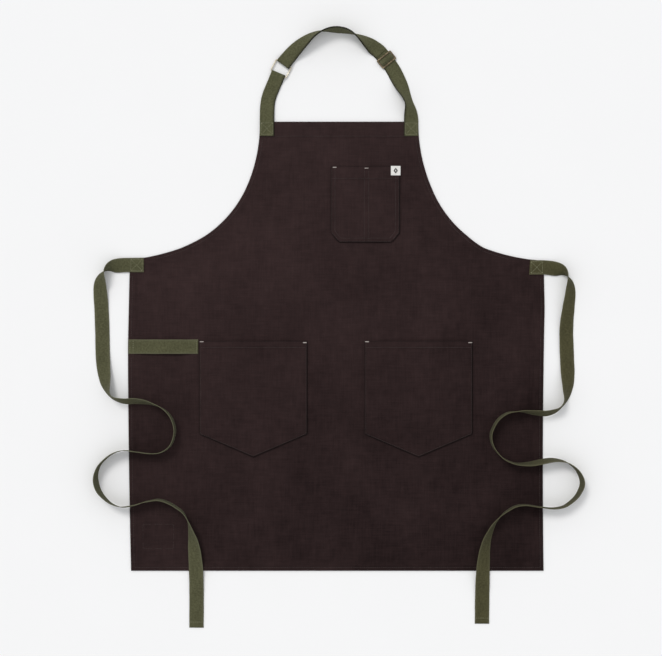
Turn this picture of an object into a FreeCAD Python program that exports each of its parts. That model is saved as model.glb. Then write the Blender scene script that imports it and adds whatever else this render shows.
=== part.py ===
"""Canvas bib apron lying flat: bib, skirt, patch pockets, webbing neck loop and waist ties.

Frame: millimetres, +Z up from the floor, +Y towards the top of the bib, +X to the right
when the apron is seen from the front. The origin is on the floor at the middle of the
panel and the neck loop.
"""
import FreeCAD, Part
import math
import os

import Sketcher

Vector = FreeCAD.Vector
UP = Vector(0, 0, 1)

# ---------------------------------------------------------------- driving dimensions
SIZES = {
    # canvas, hems and webbing
    "canvas_thickness": 1.0,
    "hem_height": 2.0,
    "hem_width": 12.0,
    "top_hem_width": 27.0,
    "webbing_width": 25.4,
    "webbing_thickness": 1.2,
    "gap": 0.3,
    # skirt
    "hem_line": -476.0,
    "hem_half_width": 364.0,
    "left_hip_x": -369.5,
    "left_hip_y": -80.0,
    "right_hip_x": 366.0,
    "right_hip_y": -12.0,
    "corner_left_x": -366.0,
    "corner_left_y": 76.6,
    "corner_right_x": 364.0,
    "corner_right_y": 71.0,
    "corner_patch": 28.0,
    # bib
    "fold_line": 93.5,
    "bib_top": 316.5,
    "bib_left_top": -136.8,
    "bib_right_top": 142.9,
    # lower pockets
    "pocket_width": 191.0,
    "pocket_side": 164.0,
    "pocket_point": 41.0,
    "pocket_mouth": -70.6,
    "left_pocket_x": -148.2,
    "right_pocket_x": 143.3,
    "pocket_seam": 7.0,
    "pocket_slope": 40.0,
    "pocket_bulge": 6.0,
    "pocket_tip_ratio": 1.2,
    # chest pocket
    "chest_left": -11.6,
    "chest_mouth": 237.4,
    "chest_width": 122.0,
    "chest_depth": 134.0,
    "chest_corner_wide": 13.5,
    "chest_corner_tall": 17.0,
    "pencil_width": 59.4,
    "divider_width": 7.4,
    "chest_seam": 7.4,
    "chest_slope": 7.0,
    "chest_label_margin": 15.0,
    # labels
    "label_width": 18.5,
    "label_height": 18.0,
    "label_left": 93.7,
    "label_top": 238.8,
    "label_thickness": 0.6,
    "mark_size": 6.0,
    "care_width": 58.0,
    "care_height": 47.0,
    "care_left": -344.8,
    "care_top": -391.9,
    "care_thickness": 0.4,
    # towel loop
    "loop_left": -369.0,
    "loop_right": -245.4,
    "loop_middle": -80.5,
    "loop_end": 12.0,
    "loop_ramp": 22.0,
    "loop_rise": 5.6,
    # ring and slider
    "ring_wire": 2.6,
    "ring_half_length": 10.7,
    "ring_half_width": 14.9,
    "ring_corner": 2.5,
    "ring_clearance": 0.4,
    "ring_x": -99.0,
    "ring_y": 409.8,
    "ring_angle": -28.0,
    "slider_length": 18.5,
    "slider_width": 31.0,
    "slider_bar": 2.6,
    "slider_thickness": 2.2,
    "slider_corner": 2.0,
    "slider_x": 86.8,
    "slider_y": 425.7,
    "slider_angle": -141.7,
    # stitching
    "thread_width": 0.7,
    "thread_height": 0.25,
    "bartack_length": 7.0,
    "bartack_width": 2.6,
    "bartack_height": 0.6,
}

# armhole edge from the bib's top corner down to the waist corner: end and middle of each arc
ARMHOLES = {
    "left": [(-143.3, 252.3), (-161.0, 199.3), (-196.4, 146.4), (-233.7, 114.7),
             (-253.0, 104.1), (-276.1, 93.5)],
    "right": [(149.7, 252.3), (166.7, 199.3), (197.8, 146.4), (230.0, 114.7),
              (242.9, 104.1), (259.7, 93.5)],
}
SHOULDERS = {
    "left": [(-308.0, 83.6), (-340.0, 76.6)],
    "right": [(292.0, 83.0), (338.0, 73.6)],
}
# a point halfway along each slightly bowed side, from hem to hip
SIDE_BOWS = {"left": (-367.6, -290.0), "right": (363.0, -220.0)}
# the armhole hem's inner edge: how far it lies inwards and downwards of the outer edge
ARMHOLE_HEM = (10.0, 7.5)
SHOULDER_HEM = 14.0

# Each strap route is a list of (x, y, height of the strap's lower edge, lean in degrees).
# A lean of 0 is flat, 90 either way stands the webbing on its edge.
PANEL_REST = 2.6
LEFT_TIE = [
    (-366.6, 63.5, 2.0, 0), (-388, 63.5, 1.0, 0), (-409, 55.5, 0, -90), (-419.5, 32, 0, -160),
    (-416.5, -3.5, 0, -178), (-414.5, -56.5, 0, -180), (-414, -104, 0, -178),
    (-409, -141, 0, -150), (-402, -168.5, 0, -95), (-378, -177, PANEL_REST, -115),
    (-348, -175.5, PANEL_REST, -116), (-320, -181.5, PANEL_REST, -98),
    (-295, -196, PANEL_REST, -90), (-283, -224, PANEL_REST, -88),
    (-290.5, -256, PANEL_REST, -92), (-316, -270, PANEL_REST, -92),
    (-348, -266, PANEL_REST, -92), (-380, -261, PANEL_REST, -90), (-406, -274, 0, -90),
    (-424, -296.5, 0, -85), (-425.5, -323, 0, -75), (-410.5, -347.5, 0, -85),
    (-387, -362.5, PANEL_REST, -95), (-360.5, -361, PANEL_REST, -95),
    (-335.5, -351.5, PANEL_REST, -92), (-311, -348, PANEL_REST, -90),
    (-288, -358, PANEL_REST, -90), (-268.5, -372, PANEL_REST, -92),
    (-258, -397, PANEL_REST, -105), (-252, -430.5, PANEL_REST, -150),
    (-248.5, -478, PANEL_REST, -178), (-248.2, -527.5, 0, -180), (-248.6, -576.5, 0, -180),
]
RIGHT_TIE = [
    (364.6, 59.3, 2.0, 0), (385, 58, 1.0, 0), (404.5, 47.5, 0, -90), (411.5, 25.5, 0, -125),
    (408, -7, 0, -132), (403.5, -42.5, 0, -155), (404.5, -83, 0, -175), (406.5, -125, 0, -175),
    (406, -157, 0, -140), (399, -184.5, 0, -95), (375, -198.5, PANEL_REST, -118),
    (347, -196.5, PANEL_REST, -112), (320.5, -193, PANEL_REST, -95),
    (295, -196.5, PANEL_REST, -88), (276.5, -214, PANEL_REST, -85),
    (267.5, -238, PANEL_REST, -80), (275.5, -262, PANEL_REST, -88),
    (294, -279.5, PANEL_REST, -92), (318.5, -288, PANEL_REST, -92),
    (345, -285.5, PANEL_REST, -105), (371.5, -279.5, PANEL_REST, -105),
    (396.5, -279.5, 0, -92), (419.5, -293, 0, -85), (433.5, -317.5, 0, -78),
    (423, -343, 0, -85), (400, -362.5, 0, -90), (373.5, -365, PANEL_REST, -92),
    (347, -360, PANEL_REST, -92), (320.5, -357, PANEL_REST, -92),
    (296, -368.5, PANEL_REST, -92), (275.5, -390, PANEL_REST, -100),
    (262.5, -418, PANEL_REST, -140), (257.5, -450, PANEL_REST, -165),
    (256, -489, PANEL_REST, -178), (255.6, -529.5, 0, -180), (255.4, -569.5, 0, -180),
]
ANCHOR_STRAP = [
    (-124, 317.8, 2.0, 0), (-124, 338.5, 0.6, 0), (-121.5, 359, 0, 0), (-113.5, 378, 0, 0),
    (-107.7, 391.1, 0, 0),
]
UPPER_STRAP = [
    (-88.1, 427.3, 0, 0), (-78, 439, 0, -12), (-62, 454, 0, -35), (-44.5, 467, 0, -60),
    (-25, 474, 0, -75), (-2.5, 475.3, 0, -95), (20.5, 472.5, 0, -88), (40, 464.3, 0, -65),
    (57.5, 452.5, 0, -40), (65.5, 446, 0, -12), (74.6, 440.3, 0, 0),
]
LOWER_STRAP = [
    (74.6, 440.3, 0, 0), (96.5, 413, 0, 0), (108, 390, 0, 0), (120.5, 364.5, 0, -45),
    (127, 348.5, 0, -55), (130, 332.5, 0.8, -25), (130.2, 317.8, 2.0, 0),
]

document = FreeCAD.newDocument("apron")
sheet = document.addObject("Spreadsheet::Sheet", "sizes")
for row, (alias, amount) in enumerate(SIZES.items(), start=1):
    sheet.set("A%d" % row, alias)
    sheet.set("B%d" % row, str(amount))
    sheet.setAlias("B%d" % row, alias)
document.recompute()

nodes = []


def size(expression):
    """The value of a spreadsheet expression, in millimetres."""
    return sheet.evalExpression(str(expression))


def linked(expression):
    """The same expression with the sheet's name in front of each alias."""
    words = str(expression).split(" ")
    return " ".join("sizes." + word if word in SIZES else word for word in words)


def keep(item, label):
    """Register a document object as a sub-part with its own label."""
    item.Label = label
    nodes.append(item)
    return item


def place(item, x, y, z, angle=0.0):
    """Set a sub-part's place from sheet expressions and a turn about +Z in degrees."""
    item.Placement = FreeCAD.Placement(Vector(size(x), size(y), size(z)),
                                       FreeCAD.Rotation(UP, size(angle)))


# ---------------------------------------------------------------- sketches and features
def origin_plane(body, role):
    return [item for item in body.Origin.OriginFeatures if item.Role == role][0]


def sketch_on(body, name, height="0", role="XY_Plane"):
    sketch = body.newObject("Sketcher::SketchObject", name)
    sketch.AttachmentSupport = (origin_plane(body, role), [""])
    sketch.MapMode = "FlatFace"
    sketch.AttachmentOffset = FreeCAD.Placement(Vector(0, 0, size(height)), FreeCAD.Rotation())
    return sketch


def bind_point(sketch, geometry, point, x, y):
    """Tie one sketch point to two sheet expressions."""
    for kind, expression in (("DistanceX", x), ("DistanceY", y)):
        index = sketch.addConstraint(
            Sketcher.Constraint(kind, -1, 1, geometry, point, size(expression)))
        sketch.setExpression("Constraints[%d]" % index, linked(expression))


def draw_outline(sketch, corners):
    """Closed outline. A corner is (x, y), or (middle x, middle y, x, y) after an arc."""
    last = corners[-1][-2:]
    for corner in corners:
        start = Vector(size(last[0]), size(last[1]), 0)
        end = Vector(size(corner[-2]), size(corner[-1]), 0)
        if len(corner) == 4:
            middle = Vector(size(corner[0]), size(corner[1]), 0)
            curve = Part.Arc(start, middle, end)
            index = sketch.addGeometry(curve)
            drawn = sketch.getPoint(index, 2)
            tail = 2 if drawn.distanceToPoint(end) < 1e-6 else 1
        else:
            index = sketch.addGeometry(Part.LineSegment(start, end))
            tail = 2
        bind_point(sketch, index, tail, corner[-2], corner[-1])
        bind_point(sketch, index, 3 - tail, last[0], last[1])
        last = corner[-2:]


def pad(body, name, corners, length, height="0"):
    sketch = sketch_on(body, name + "_outline", height)
    draw_outline(sketch, corners)
    feature = body.newObject("PartDesign::Pad", name)
    feature.Profile = sketch
    feature.setExpression("Length", linked(length))
    return feature


def pocket(body, name, corners, depth, height):
    """Cut downwards from a given height."""
    document.recompute()
    before = body.Shape.Volume
    sketch = sketch_on(body, name + "_outline", height)
    draw_outline(sketch, corners)
    feature = body.newObject("PartDesign::Pocket", name)
    feature.Profile = sketch
    feature.setExpression("Length", linked(depth))
    document.recompute()
    if body.Shape.Volume >= before:
        raise RuntimeError(name + " cut nothing")
    return feature


def loft(body, name, kind, lower, lower_height, upper, upper_height):
    """Straight-sided loft between two outlines with the same corners."""
    first = sketch_on(body, name + "_lower", lower_height)
    draw_outline(first, lower)
    second = sketch_on(body, name + "_upper", upper_height)
    draw_outline(second, upper)
    feature = body.newObject("PartDesign::" + kind, name)
    feature.Profile = first
    feature.Sections = [second]
    feature.Ruled = True
    return feature


def rectangle(left, bottom, right, top):
    return [(right, bottom), (right, top), (left, top), (left, bottom)]


def new_body(label):
    return keep(document.addObject("PartDesign::Body", label), label)


def set_shape(label, shape):
    feature = document.addObject("Part::Feature", label)
    feature.Shape = shape
    return keep(feature, label)


# ---------------------------------------------------------------- canvas panels
def armhole(side, shift_x=0.0, shift_y=0.0):
    """The three arcs of one armhole as outline corners, from the bib's top down."""
    points = [(x + shift_x, y + shift_y) for x, y in ARMHOLES[side]]
    return [points[i] + points[i + 1] for i in range(0, len(points), 2)]


def reversed_arcs(start, arcs):
    """The same chain of arcs walked the other way, ending at its start corner."""
    ends = [start] + [arc[2:] for arc in arcs]
    pairs = zip(reversed(arcs), reversed(ends[:-1]))
    return [(arc[0], arc[1], end[0], end[1]) for arc, end in pairs]


def make_skirt():
    body = new_body("skirt_panel")
    left_mid, left_end = SHOULDERS["left"]
    right_mid, right_end = SHOULDERS["right"]
    left_fold = ARMHOLES["left"][-1][0]
    right_fold = ARMHOLES["right"][-1][0]
    outline = [
        ("hem_half_width", "hem_line"),
        SIDE_BOWS["right"] + ("right_hip_x", "right_hip_y"),
        ("corner_right_x", "corner_right_y"),
        right_end,
        right_mid + (right_fold, "fold_line - gap"),
        (left_fold, "fold_line - gap"),
        left_mid + left_end,
        ("corner_left_x", "corner_left_y"),
        ("left_hip_x", "left_hip_y"),
        SIDE_BOWS["left"] + ("-1 * hem_half_width", "hem_line"),
    ]
    pad(body, "cloth", outline, "hem_height")
    inside = [
        ("hem_half_width - hem_width", "hem_line + hem_width"),
        ("right_hip_x - hem_width", "right_hip_y"),
        ("corner_right_x - hem_width", "corner_right_y - corner_patch"),
        ("corner_right_x - corner_patch", "corner_right_y - corner_patch"),
        ("corner_right_x - corner_patch", "corner_right_y - hem_width"),
        (right_fold - SHOULDER_HEM, "fold_line + gap"),
        (left_fold + SHOULDER_HEM, "fold_line + gap"),
        ("corner_left_x + corner_patch", "corner_left_y - hem_width"),
        ("corner_left_x + corner_patch", "corner_left_y - corner_patch"),
        ("corner_left_x + hem_width", "corner_left_y - corner_patch"),
        ("left_hip_x + hem_width", "left_hip_y"),
        ("-1 * hem_half_width + hem_width", "hem_line + hem_width"),
    ]
    pocket(body, "single_layer", inside, "hem_height - canvas_thickness", "hem_height")
    recess = rectangle("care_left - gap", "care_top - care_height - gap",
                       "care_left + care_width + gap", "care_top + gap")
    pocket(body, "care_label_recess", recess, "care_thickness", "care_thickness")


def make_bib():
    body = new_body("bib_panel")
    arcs_left = armhole("left")
    arcs_left[-1] = arcs_left[-1][:3] + ("fold_line + gap",)
    arcs_right = armhole("right")
    arcs_right[-1] = arcs_right[-1][:3] + ("fold_line + gap",)
    outline = [("bib_left_top", "bib_top")] + arcs_left
    outline += [arcs_right[-1][2:]]
    outline += reversed_arcs(("bib_right_top", "bib_top"), arcs_right)
    pad(body, "cloth", outline, "hem_height")
    inwards, down = ARMHOLE_HEM
    inner_left = armhole("left", inwards, -down)
    inner_right = armhole("right", -inwards, -down)
    inside = [("bib_left_top + hem_width", "bib_top - top_hem_width")] + inner_left
    inside += [inner_right[-1][2:]]
    inside += reversed_arcs(("bib_right_top - hem_width", "bib_top - top_hem_width"), inner_right)
    pocket(body, "single_layer", inside, "hem_height - canvas_thickness", "hem_height")


# ---------------------------------------------------------------- patch pockets
def pointed_outline(inset, tip_inset, mouth="0"):
    """Pointed patch outline about its mouth's middle, drawn in from its edge."""
    half = "pocket_width / 2 - ( %s )" % inset
    side = "-1 * pocket_side + ( %s )" % inset
    tip = "-1 * pocket_side - pocket_point + ( %s )" % tip_inset
    return [(half, mouth), ("-1 * ( %s )" % half, mouth), ("-1 * ( %s )" % half, side),
            (0, tip), (half, side)]


def make_pointed_pocket(label, middle):
    body = new_body(label)
    top_inset = "pocket_seam + pocket_slope"
    pad(body, "seam_allowance", pointed_outline("0", "0"), "canvas_thickness")
    loft(body, "bulge", "AdditiveLoft",
         pointed_outline("pocket_seam", "pocket_seam"), "canvas_thickness / 2",
         pointed_outline(top_inset, "( " + top_inset + " ) * pocket_tip_ratio"), "pocket_bulge")
    loft(body, "hollow", "SubtractiveLoft",
         pointed_outline("pocket_seam + canvas_thickness", "pocket_seam + canvas_thickness", "1"),
         "0",
         pointed_outline(top_inset + " + canvas_thickness",
                         "( " + top_inset + " ) * pocket_tip_ratio + canvas_thickness", "1"),
         "pocket_bulge - canvas_thickness")
    place(body, middle, "pocket_mouth", "canvas_thickness")


def compartment(left, right, inset, mouth="0"):
    """One flat compartment of the chest pocket, drawn in from its edge."""
    bottom = "-1 * chest_depth + chest_corner_tall + ( %s )" % inset
    return rectangle("%s + ( %s )" % (left, inset), bottom,
                     "%s - ( %s )" % (right, inset), mouth)


def make_chest_pocket():
    body = new_body("chest_pocket")
    outline = [
        (0, 0), (0, "-1 * chest_depth + chest_corner_tall"),
        ("chest_corner_wide", "-1 * chest_depth"),
        ("chest_width - chest_corner_wide", "-1 * chest_depth"),
        ("chest_width", "-1 * chest_depth + chest_corner_tall"), ("chest_width", 0),
    ]
    pad(body, "seam_allowance", outline, "canvas_thickness")
    spans = [
        ("chest_seam", "pencil_width - chest_seam"),
        ("pencil_width + divider_width + chest_seam",
         "chest_width - chest_seam - chest_label_margin"),
    ]
    for number, (left, right) in enumerate(spans, start=1):
        loft(body, "bulge_%d" % number, "AdditiveLoft",
             compartment(left, right, "0"), "canvas_thickness / 2",
             compartment(left, right, "chest_slope"), "pocket_bulge")
        loft(body, "hollow_%d" % number, "SubtractiveLoft",
             compartment(left, right, "canvas_thickness", "1"), "0",
             compartment(left, right, "chest_slope + canvas_thickness", "1"),
             "pocket_bulge - canvas_thickness")
    place(body, "chest_left", "chest_mouth", "canvas_thickness")


# ---------------------------------------------------------------- labels
def make_labels():
    label = new_body("woven_label")
    pad(label, "weave", rectangle(0, "-1 * label_height", "label_width", 0), "label_thickness")
    place(label, "label_left", "label_top", "canvas_thickness * 2")
    mark = new_body("woven_label_mark")
    half = "mark_size / 2"
    diamond = [("0", "mark_size"), ("-1 * " + half, 0), (0, "-1 * mark_size"), (half, 0)]
    pad(mark, "diamond", diamond, "thread_height")
    place(mark, "label_left + label_width / 2", "label_top - label_height / 2",
          "canvas_thickness * 2 + label_thickness")
    care = new_body("care_label")
    pad(care, "tape", rectangle(0, "-1 * care_height", "care_width", 0), "care_thickness")
    place(care, "care_left", "care_top", 0)


# ---------------------------------------------------------------- straps along a route
ARC_SHARE = 0.45    # how much of the shorter run beside a point its arc takes up
END_MARGIN = 0.5    # no cross-section is set closer than this to a strap's end


def route_wire(points):
    """Straight runs joined by tangent arcs; also the length at which each point is passed."""
    spots = [Vector(x, y, base) for x, y, base, lean in points]
    edges = []
    passed = [0.0]
    radii = []
    here = spots[0]
    length = 0.0
    for i in range(1, len(spots) - 1):
        before = spots[i] - spots[i - 1]
        after = spots[i + 1] - spots[i]
        turn = before.getAngle(after)
        reach = ARC_SHARE * min(before.Length, after.Length)
        radius = reach / math.tan(turn / 2)
        radii.append(radius)
        first = spots[i] - before.normalize() * reach
        last = spots[i] + after.normalize() * reach
        bisector = (last + first) * 0.5 - spots[i]
        sagitta = radius / math.cos(turn / 2) - radius
        middle = spots[i] + bisector.normalize() * sagitta
        edges.append(Part.LineSegment(here, first).toShape())
        edges.append(Part.Arc(first, middle, last).toShape())
        length += edges[-2].Length
        passed.append(length + edges[-1].Length / 2)
        length += edges[-1].Length
        here = last
    edges.append(Part.LineSegment(here, spots[-1]).toShape())
    passed.append(length + edges[-1].Length)
    return Part.Wire(edges), passed, radii


def lean_at(points, passed, length):
    for i in range(1, len(points)):
        if length <= passed[i] + 1e-9:
            share = (length - passed[i - 1]) / (passed[i] - passed[i - 1])
            return points[i - 1][3] + share * (points[i][3] - points[i - 1][3])
    return points[-1][3]


def stations(wire, step=8.0):
    """Position, direction and length along the wire, close enough for its bends."""
    found = []
    travelled = 0.0
    for edge in wire.OrderedEdges:
        count = max(1, math.ceil(edge.Length / step))
        for i in range(count):
            parameter = edge.getParameterByLength(edge.Length * i / count)
            found.append((edge.valueAt(parameter), edge.tangentAt(parameter),
                          travelled + edge.Length * i / count))
        travelled += edge.Length
    last = wire.OrderedEdges[-1]
    found.append((last.valueAt(last.LastParameter), last.tangentAt(last.LastParameter), travelled))
    return found


def cross_section(spot, direction, lean, side, width, thickness):
    """Rectangle across the strap, its lower edge at the route's height."""
    level = Vector(direction.x, direction.y, 0).normalize()
    across = UP.cross(level) * side
    angle = math.radians(lean)
    wide = across * math.cos(angle) + UP * math.sin(angle)
    thin = level.cross(wide)
    lift = width / 2 * abs(math.sin(angle)) + thickness / 2 * abs(math.cos(angle))
    middle = spot + UP * lift
    half_wide = wide * (width / 2)
    half_thin = thin * (thickness / 2)
    corners = [middle + half_wide + half_thin, middle - half_wide + half_thin,
               middle - half_wide - half_thin, middle + half_wide - half_thin]
    return Part.makePolygon(corners + corners[:1])


def strap(points, layers=1, side=1, start=None, end=None):
    """Flat webbing along a route, leaning as each point says."""
    width = size("webbing_width")
    thickness = size("webbing_thickness") * layers
    wire, passed, radii = route_wire(points)
    low = 0.0 if start is None else start
    high = passed[-1] if end is None else end
    spots = [item for item in stations(wire)
             if low + END_MARGIN < item[2] < high - END_MARGIN]
    if start is None:
        spots.insert(0, stations(wire)[0])
    else:
        spots.insert(0, spot_at(wire, start))
    spots.append(stations(wire)[-1] if end is None else spot_at(wire, end))
    sections = [cross_section(spot, direction, lean_at(points, passed, length), side,
                              width, thickness)
                for spot, direction, length in spots]
    solid = Part.makeLoft(sections, True, True)
    expected = width * thickness * (high - low)
    print("strap volume over section times length: %.3f" % (solid.Volume / expected))
    return solid


def spot_at(wire, length):
    """Position and direction at a length along the wire."""
    travelled = 0.0
    for edge in wire.OrderedEdges:
        if length <= travelled + edge.Length:
            parameter = edge.getParameterByLength(length - travelled)
            return edge.valueAt(parameter), edge.tangentAt(parameter), length
        travelled += edge.Length
    raise ValueError("length is past the end of the route")


def sewn_end(left, bottom, layers=1):
    """Square of webbing sewn down on the hem."""
    width = size("webbing_width")
    box = Part.makeBox(width, width, size("webbing_thickness") * layers)
    box.translate(Vector(left, bottom, size("hem_height")))
    return box


def make_tie(side_name, route, side):
    """One waist tie: the end sewn to the corner with its stub, and the free tie."""
    wire, passed, radii = route_wire(route)
    width = size("webbing_width")
    left = route[0][0] if side < 0 else route[0][0] - width
    corner = sewn_end(left, route[0][1] - width / 2)
    stub = strap(route, side=side, end=passed[2])
    set_shape(side_name + "_tie_end", corner.fuse(stub).removeSplitter())
    free = strap(route, side=side, start=passed[2] + 2 * size("gap"))
    set_shape(side_name + "_waist_tie", free)
    turning = spot_at(wire, passed[2])[0]
    print("%s tie: length %.1f, turns at (%.2f, %.2f), smallest radii %s" % (
        side_name, passed[-1], turning.x, turning.y,
        ", ".join("%.0f" % radius for radius in sorted(radii)[:6])))


FOLD_TAIL = 12.0        # from the bar's axis back to where the two layers meet
FOLD_SEAM = 2.0         # how long the two layers lie together at the tail
FOLD_NOSE = 1.3         # from the bar's axis on to the start of the rounded turn
FOLD_BACK = 3.4         # from the bar's axis back to where the upper layer starts down
ANCHOR_CAVITY = 3.4     # room for the bar inside the anchor strap's fold
UPPER_CAVITY = 5.6      # room for the bar inside the upper strap's fold as the ring rocks


def strap_fold(bar, toward, cavity):
    """Webbing turned back around a bar: its tail joins the doubled strap behind it."""
    thickness = size("webbing_thickness")
    width = size("webbing_width")

    def profile(reach_back, low, high, join_low, join_high):
        radius = (high - low) / 2
        nose_low = Vector(FOLD_NOSE, 0, low)
        nose_high = Vector(FOLD_NOSE, 0, high)
        tip = Vector(FOLD_NOSE + radius, 0, low + radius)
        line = [nose_high, Vector(-FOLD_BACK, 0, high), Vector(-reach_back, 0, join_high)]
        if join_high > join_low:
            line.append(Vector(-reach_back, 0, join_low))
        line.append(nose_low)
        edges = [Part.LineSegment(a, b).toShape() for a, b in zip(line, line[1:])]
        edges.append(Part.Arc(nose_low, tip, nose_high).toShape())
        return Part.Face(Part.Wire(edges))

    outer = profile(FOLD_TAIL, 0, cavity + 2 * thickness, 0, 2 * thickness)
    inner = profile(FOLD_TAIL - FOLD_SEAM, thickness, cavity + thickness, thickness, thickness)
    solid = outer.cut(inner).extrude(Vector(0, width, 0))
    solid.translate(Vector(0, -width / 2, 0))
    solid.rotate(Vector(0, 0, 0), UP, aim(toward, bar))
    solid.translate(Vector(bar[0], bar[1], 0))
    return solid


def ring_bar(side):
    """Centre of the ring's bar on one side, at the height of its wire's middle."""
    angle = math.radians(size("ring_angle") + 90)
    reach = side * size("ring_half_length")
    return (size("ring_x") + reach * math.cos(angle), size("ring_y") + reach * math.sin(angle))


def aim(from_point, to_point):
    return math.degrees(math.atan2(to_point[1] - from_point[1], to_point[0] - from_point[0]))


def make_neck_straps():
    width = size("webbing_width")
    bottom = size("bib_top") - width
    set_shape("left_neck_strap_end",
              sewn_end(ANCHOR_STRAP[0][0] - width / 2, bottom, layers=2))
    set_shape("right_neck_strap_end", sewn_end(LOWER_STRAP[-1][0] - width / 2, bottom))
    lower_bar = ring_bar(-1)
    upper_bar = ring_bar(1)
    anchor_fold = strap_fold(lower_bar, ANCHOR_STRAP[-1], ANCHOR_CAVITY)
    upper_fold = strap_fold(upper_bar, UPPER_STRAP[0], UPPER_CAVITY)
    anchor_route = ANCHOR_STRAP[:-1] + [fold_tail(lower_bar, ANCHOR_STRAP[-1])]
    upper_route = [fold_tail(upper_bar, UPPER_STRAP[0])] + UPPER_STRAP[1:]
    anchor = strap(anchor_route, layers=2)
    set_shape("anchor_strap", anchor.fuse(anchor_fold).removeSplitter())
    upper = strap(upper_route, layers=2)
    lower = strap(LOWER_STRAP)
    set_shape("neck_strap", upper.fuse([upper_fold, lower]).removeSplitter())


def fold_tail(bar, toward):
    """The route point where a fold's tail ends, behind its bar."""
    angle = math.atan2(toward[1] - bar[1], toward[0] - bar[0])
    return (bar[0] + FOLD_TAIL * math.cos(angle), bar[1] + FOLD_TAIL * math.sin(angle), 0, 0)


# ---------------------------------------------------------------- metal fittings
def make_ring():
    body = new_body("square_ring")
    half_x = "ring_half_width"
    half_y = "ring_half_length"
    spine = sketch_on(body, "spine")
    bend = size("ring_corner")
    diagonal = bend * (1 - math.sqrt(0.5))
    wide, tall = size(half_x), size(half_y)
    corners = [
        (wide, tall - bend),
        (wide - diagonal, tall - diagonal, wide - bend, tall),
        (-wide + bend, tall),
        (-wide + diagonal, tall - diagonal, -wide, tall - bend),
        (-wide, -tall + bend),
        (-wide + diagonal, -tall + diagonal, -wide + bend, -tall),
        (wide - bend, -tall),
        (wide - diagonal, -tall + diagonal, wide, -tall + bend),
    ]
    draw_outline(spine, corners)
    section = sketch_on(body, "wire", role="XZ_Plane")
    circle = section.addGeometry(Part.Circle(Vector(wide, 0, 0), Vector(0, 0, 1),
                                             size("ring_wire / 2")))
    bind_point(section, circle, 3, half_x, 0)
    index = section.addConstraint(Sketcher.Constraint("Radius", circle, size("ring_wire / 2")))
    section.setExpression("Constraints[%d]" % index, linked("ring_wire / 2"))
    pipe = body.newObject("PartDesign::AdditivePipe", "bent_wire")
    pipe.Profile = section
    pipe.Spine = (spine, [])
    place(body, "ring_x", "ring_y", "webbing_thickness + ring_clearance + ring_wire / 2",
          "ring_angle")


def make_slider():
    body = new_body("adjuster_slider")
    half_x = "slider_width / 2"
    half_y = "slider_length / 2"
    pad(body, "plate", rectangle("-1 * " + half_x, "-1 * " + half_y, half_x, half_y),
        "slider_thickness")
    window_x = "slider_width / 2 - slider_bar"
    for name, low, high in (("window_low", "-1 * slider_length / 2 + slider_bar",
                             "-1 * slider_bar / 2"),
                            ("window_high", "slider_bar / 2", "slider_length / 2 - slider_bar")):
        pocket(body, name, rectangle("-1 * ( %s )" % window_x, low, window_x, high),
               "slider_thickness", "slider_thickness")
    plate = body.Tip
    corners = ["Edge%d" % (i + 1) for i, edge in enumerate(plate.Shape.Edges)
               if is_outer_corner(edge)]
    rounded = body.newObject("PartDesign::Fillet", "rounded_corners")
    rounded.Base = (plate, corners)
    rounded.setExpression("Radius", linked("slider_corner"))
    height = "webbing_thickness + gap"
    place(body, "slider_x", "slider_y", height, "slider_angle")

    band = new_body("slider_web_band")
    reach = "slider_length / 2 - slider_bar - gap"
    half_width = "webbing_width / 2"
    top = "slider_thickness + webbing_thickness + gap"
    pad(band, "web", rectangle("-1 * " + half_width, "-1 * ( %s )" % reach, half_width, reach), top)
    pocket(band, "bar_slot",
           rectangle("-1 * " + half_width + " - 1", "-1 * slider_bar / 2 - gap",
                     half_width + " + 1", "slider_bar / 2 + gap"),
           "slider_thickness + gap", "slider_thickness + gap")
    place(band, "slider_x", "slider_y", height, "slider_angle")


def is_outer_corner(edge):
    """True for the four upright edges at the slider's outside corners."""
    first, last = edge.Vertexes[0].Point, edge.Vertexes[-1].Point
    upright = abs(first.x - last.x) < 1e-6 and abs(first.y - last.y) < 1e-6
    return upright and abs(abs(first.x) - size("slider_width / 2")) < 1e-6


# ---------------------------------------------------------------- towel loop
def make_towel_loop():
    """Webbing arch; its side profile is drawn on the XZ plane and padded across."""
    body = new_body("towel_loop")
    thick = "webbing_thickness"
    crown = "canvas_thickness + loop_rise"
    sketch = sketch_on(body, "side_profile", role="XZ_Plane")
    run = [
        ("loop_left", "hem_height"), ("loop_left + loop_end", "hem_height"),
        ("loop_left + loop_end + loop_ramp", crown),
        ("loop_right - loop_end - loop_ramp", crown),
        ("loop_right - loop_end", "canvas_thickness"), ("loop_right", "canvas_thickness"),
    ]
    back = [(x, "%s + %s" % (z, thick)) for x, z in reversed(run)]
    draw_outline(sketch, run + back)
    feature = body.newObject("PartDesign::Pad", "web")
    feature.Profile = sketch
    feature.Midplane = True
    feature.setExpression("Length", linked("webbing_width"))
    place(body, 0, "loop_middle", 0)


# ---------------------------------------------------------------- stitching
def stitch_line(points, height, closed=False):
    """Rows of thread laid along straight lines at one height."""
    ends = points[1:] + (points[:1] if closed else [])
    strips = []
    for start, end in zip(points, ends):
        first = Vector(start[0], start[1], height)
        last = Vector(end[0], end[1], height)
        along = last - first
        strip = Part.makeBox(along.Length, size("thread_width"), size("thread_height"))
        strip.translate(Vector(0, -size("thread_width") / 2, 0))
        strip.rotate(Vector(0, 0, 0), UP, math.degrees(math.atan2(along.y, along.x)))
        strip.translate(first)
        strips.append(strip)
    if len(strips) == 1:
        return strips[0]
    return strips[0].fuse(strips[1:])


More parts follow.
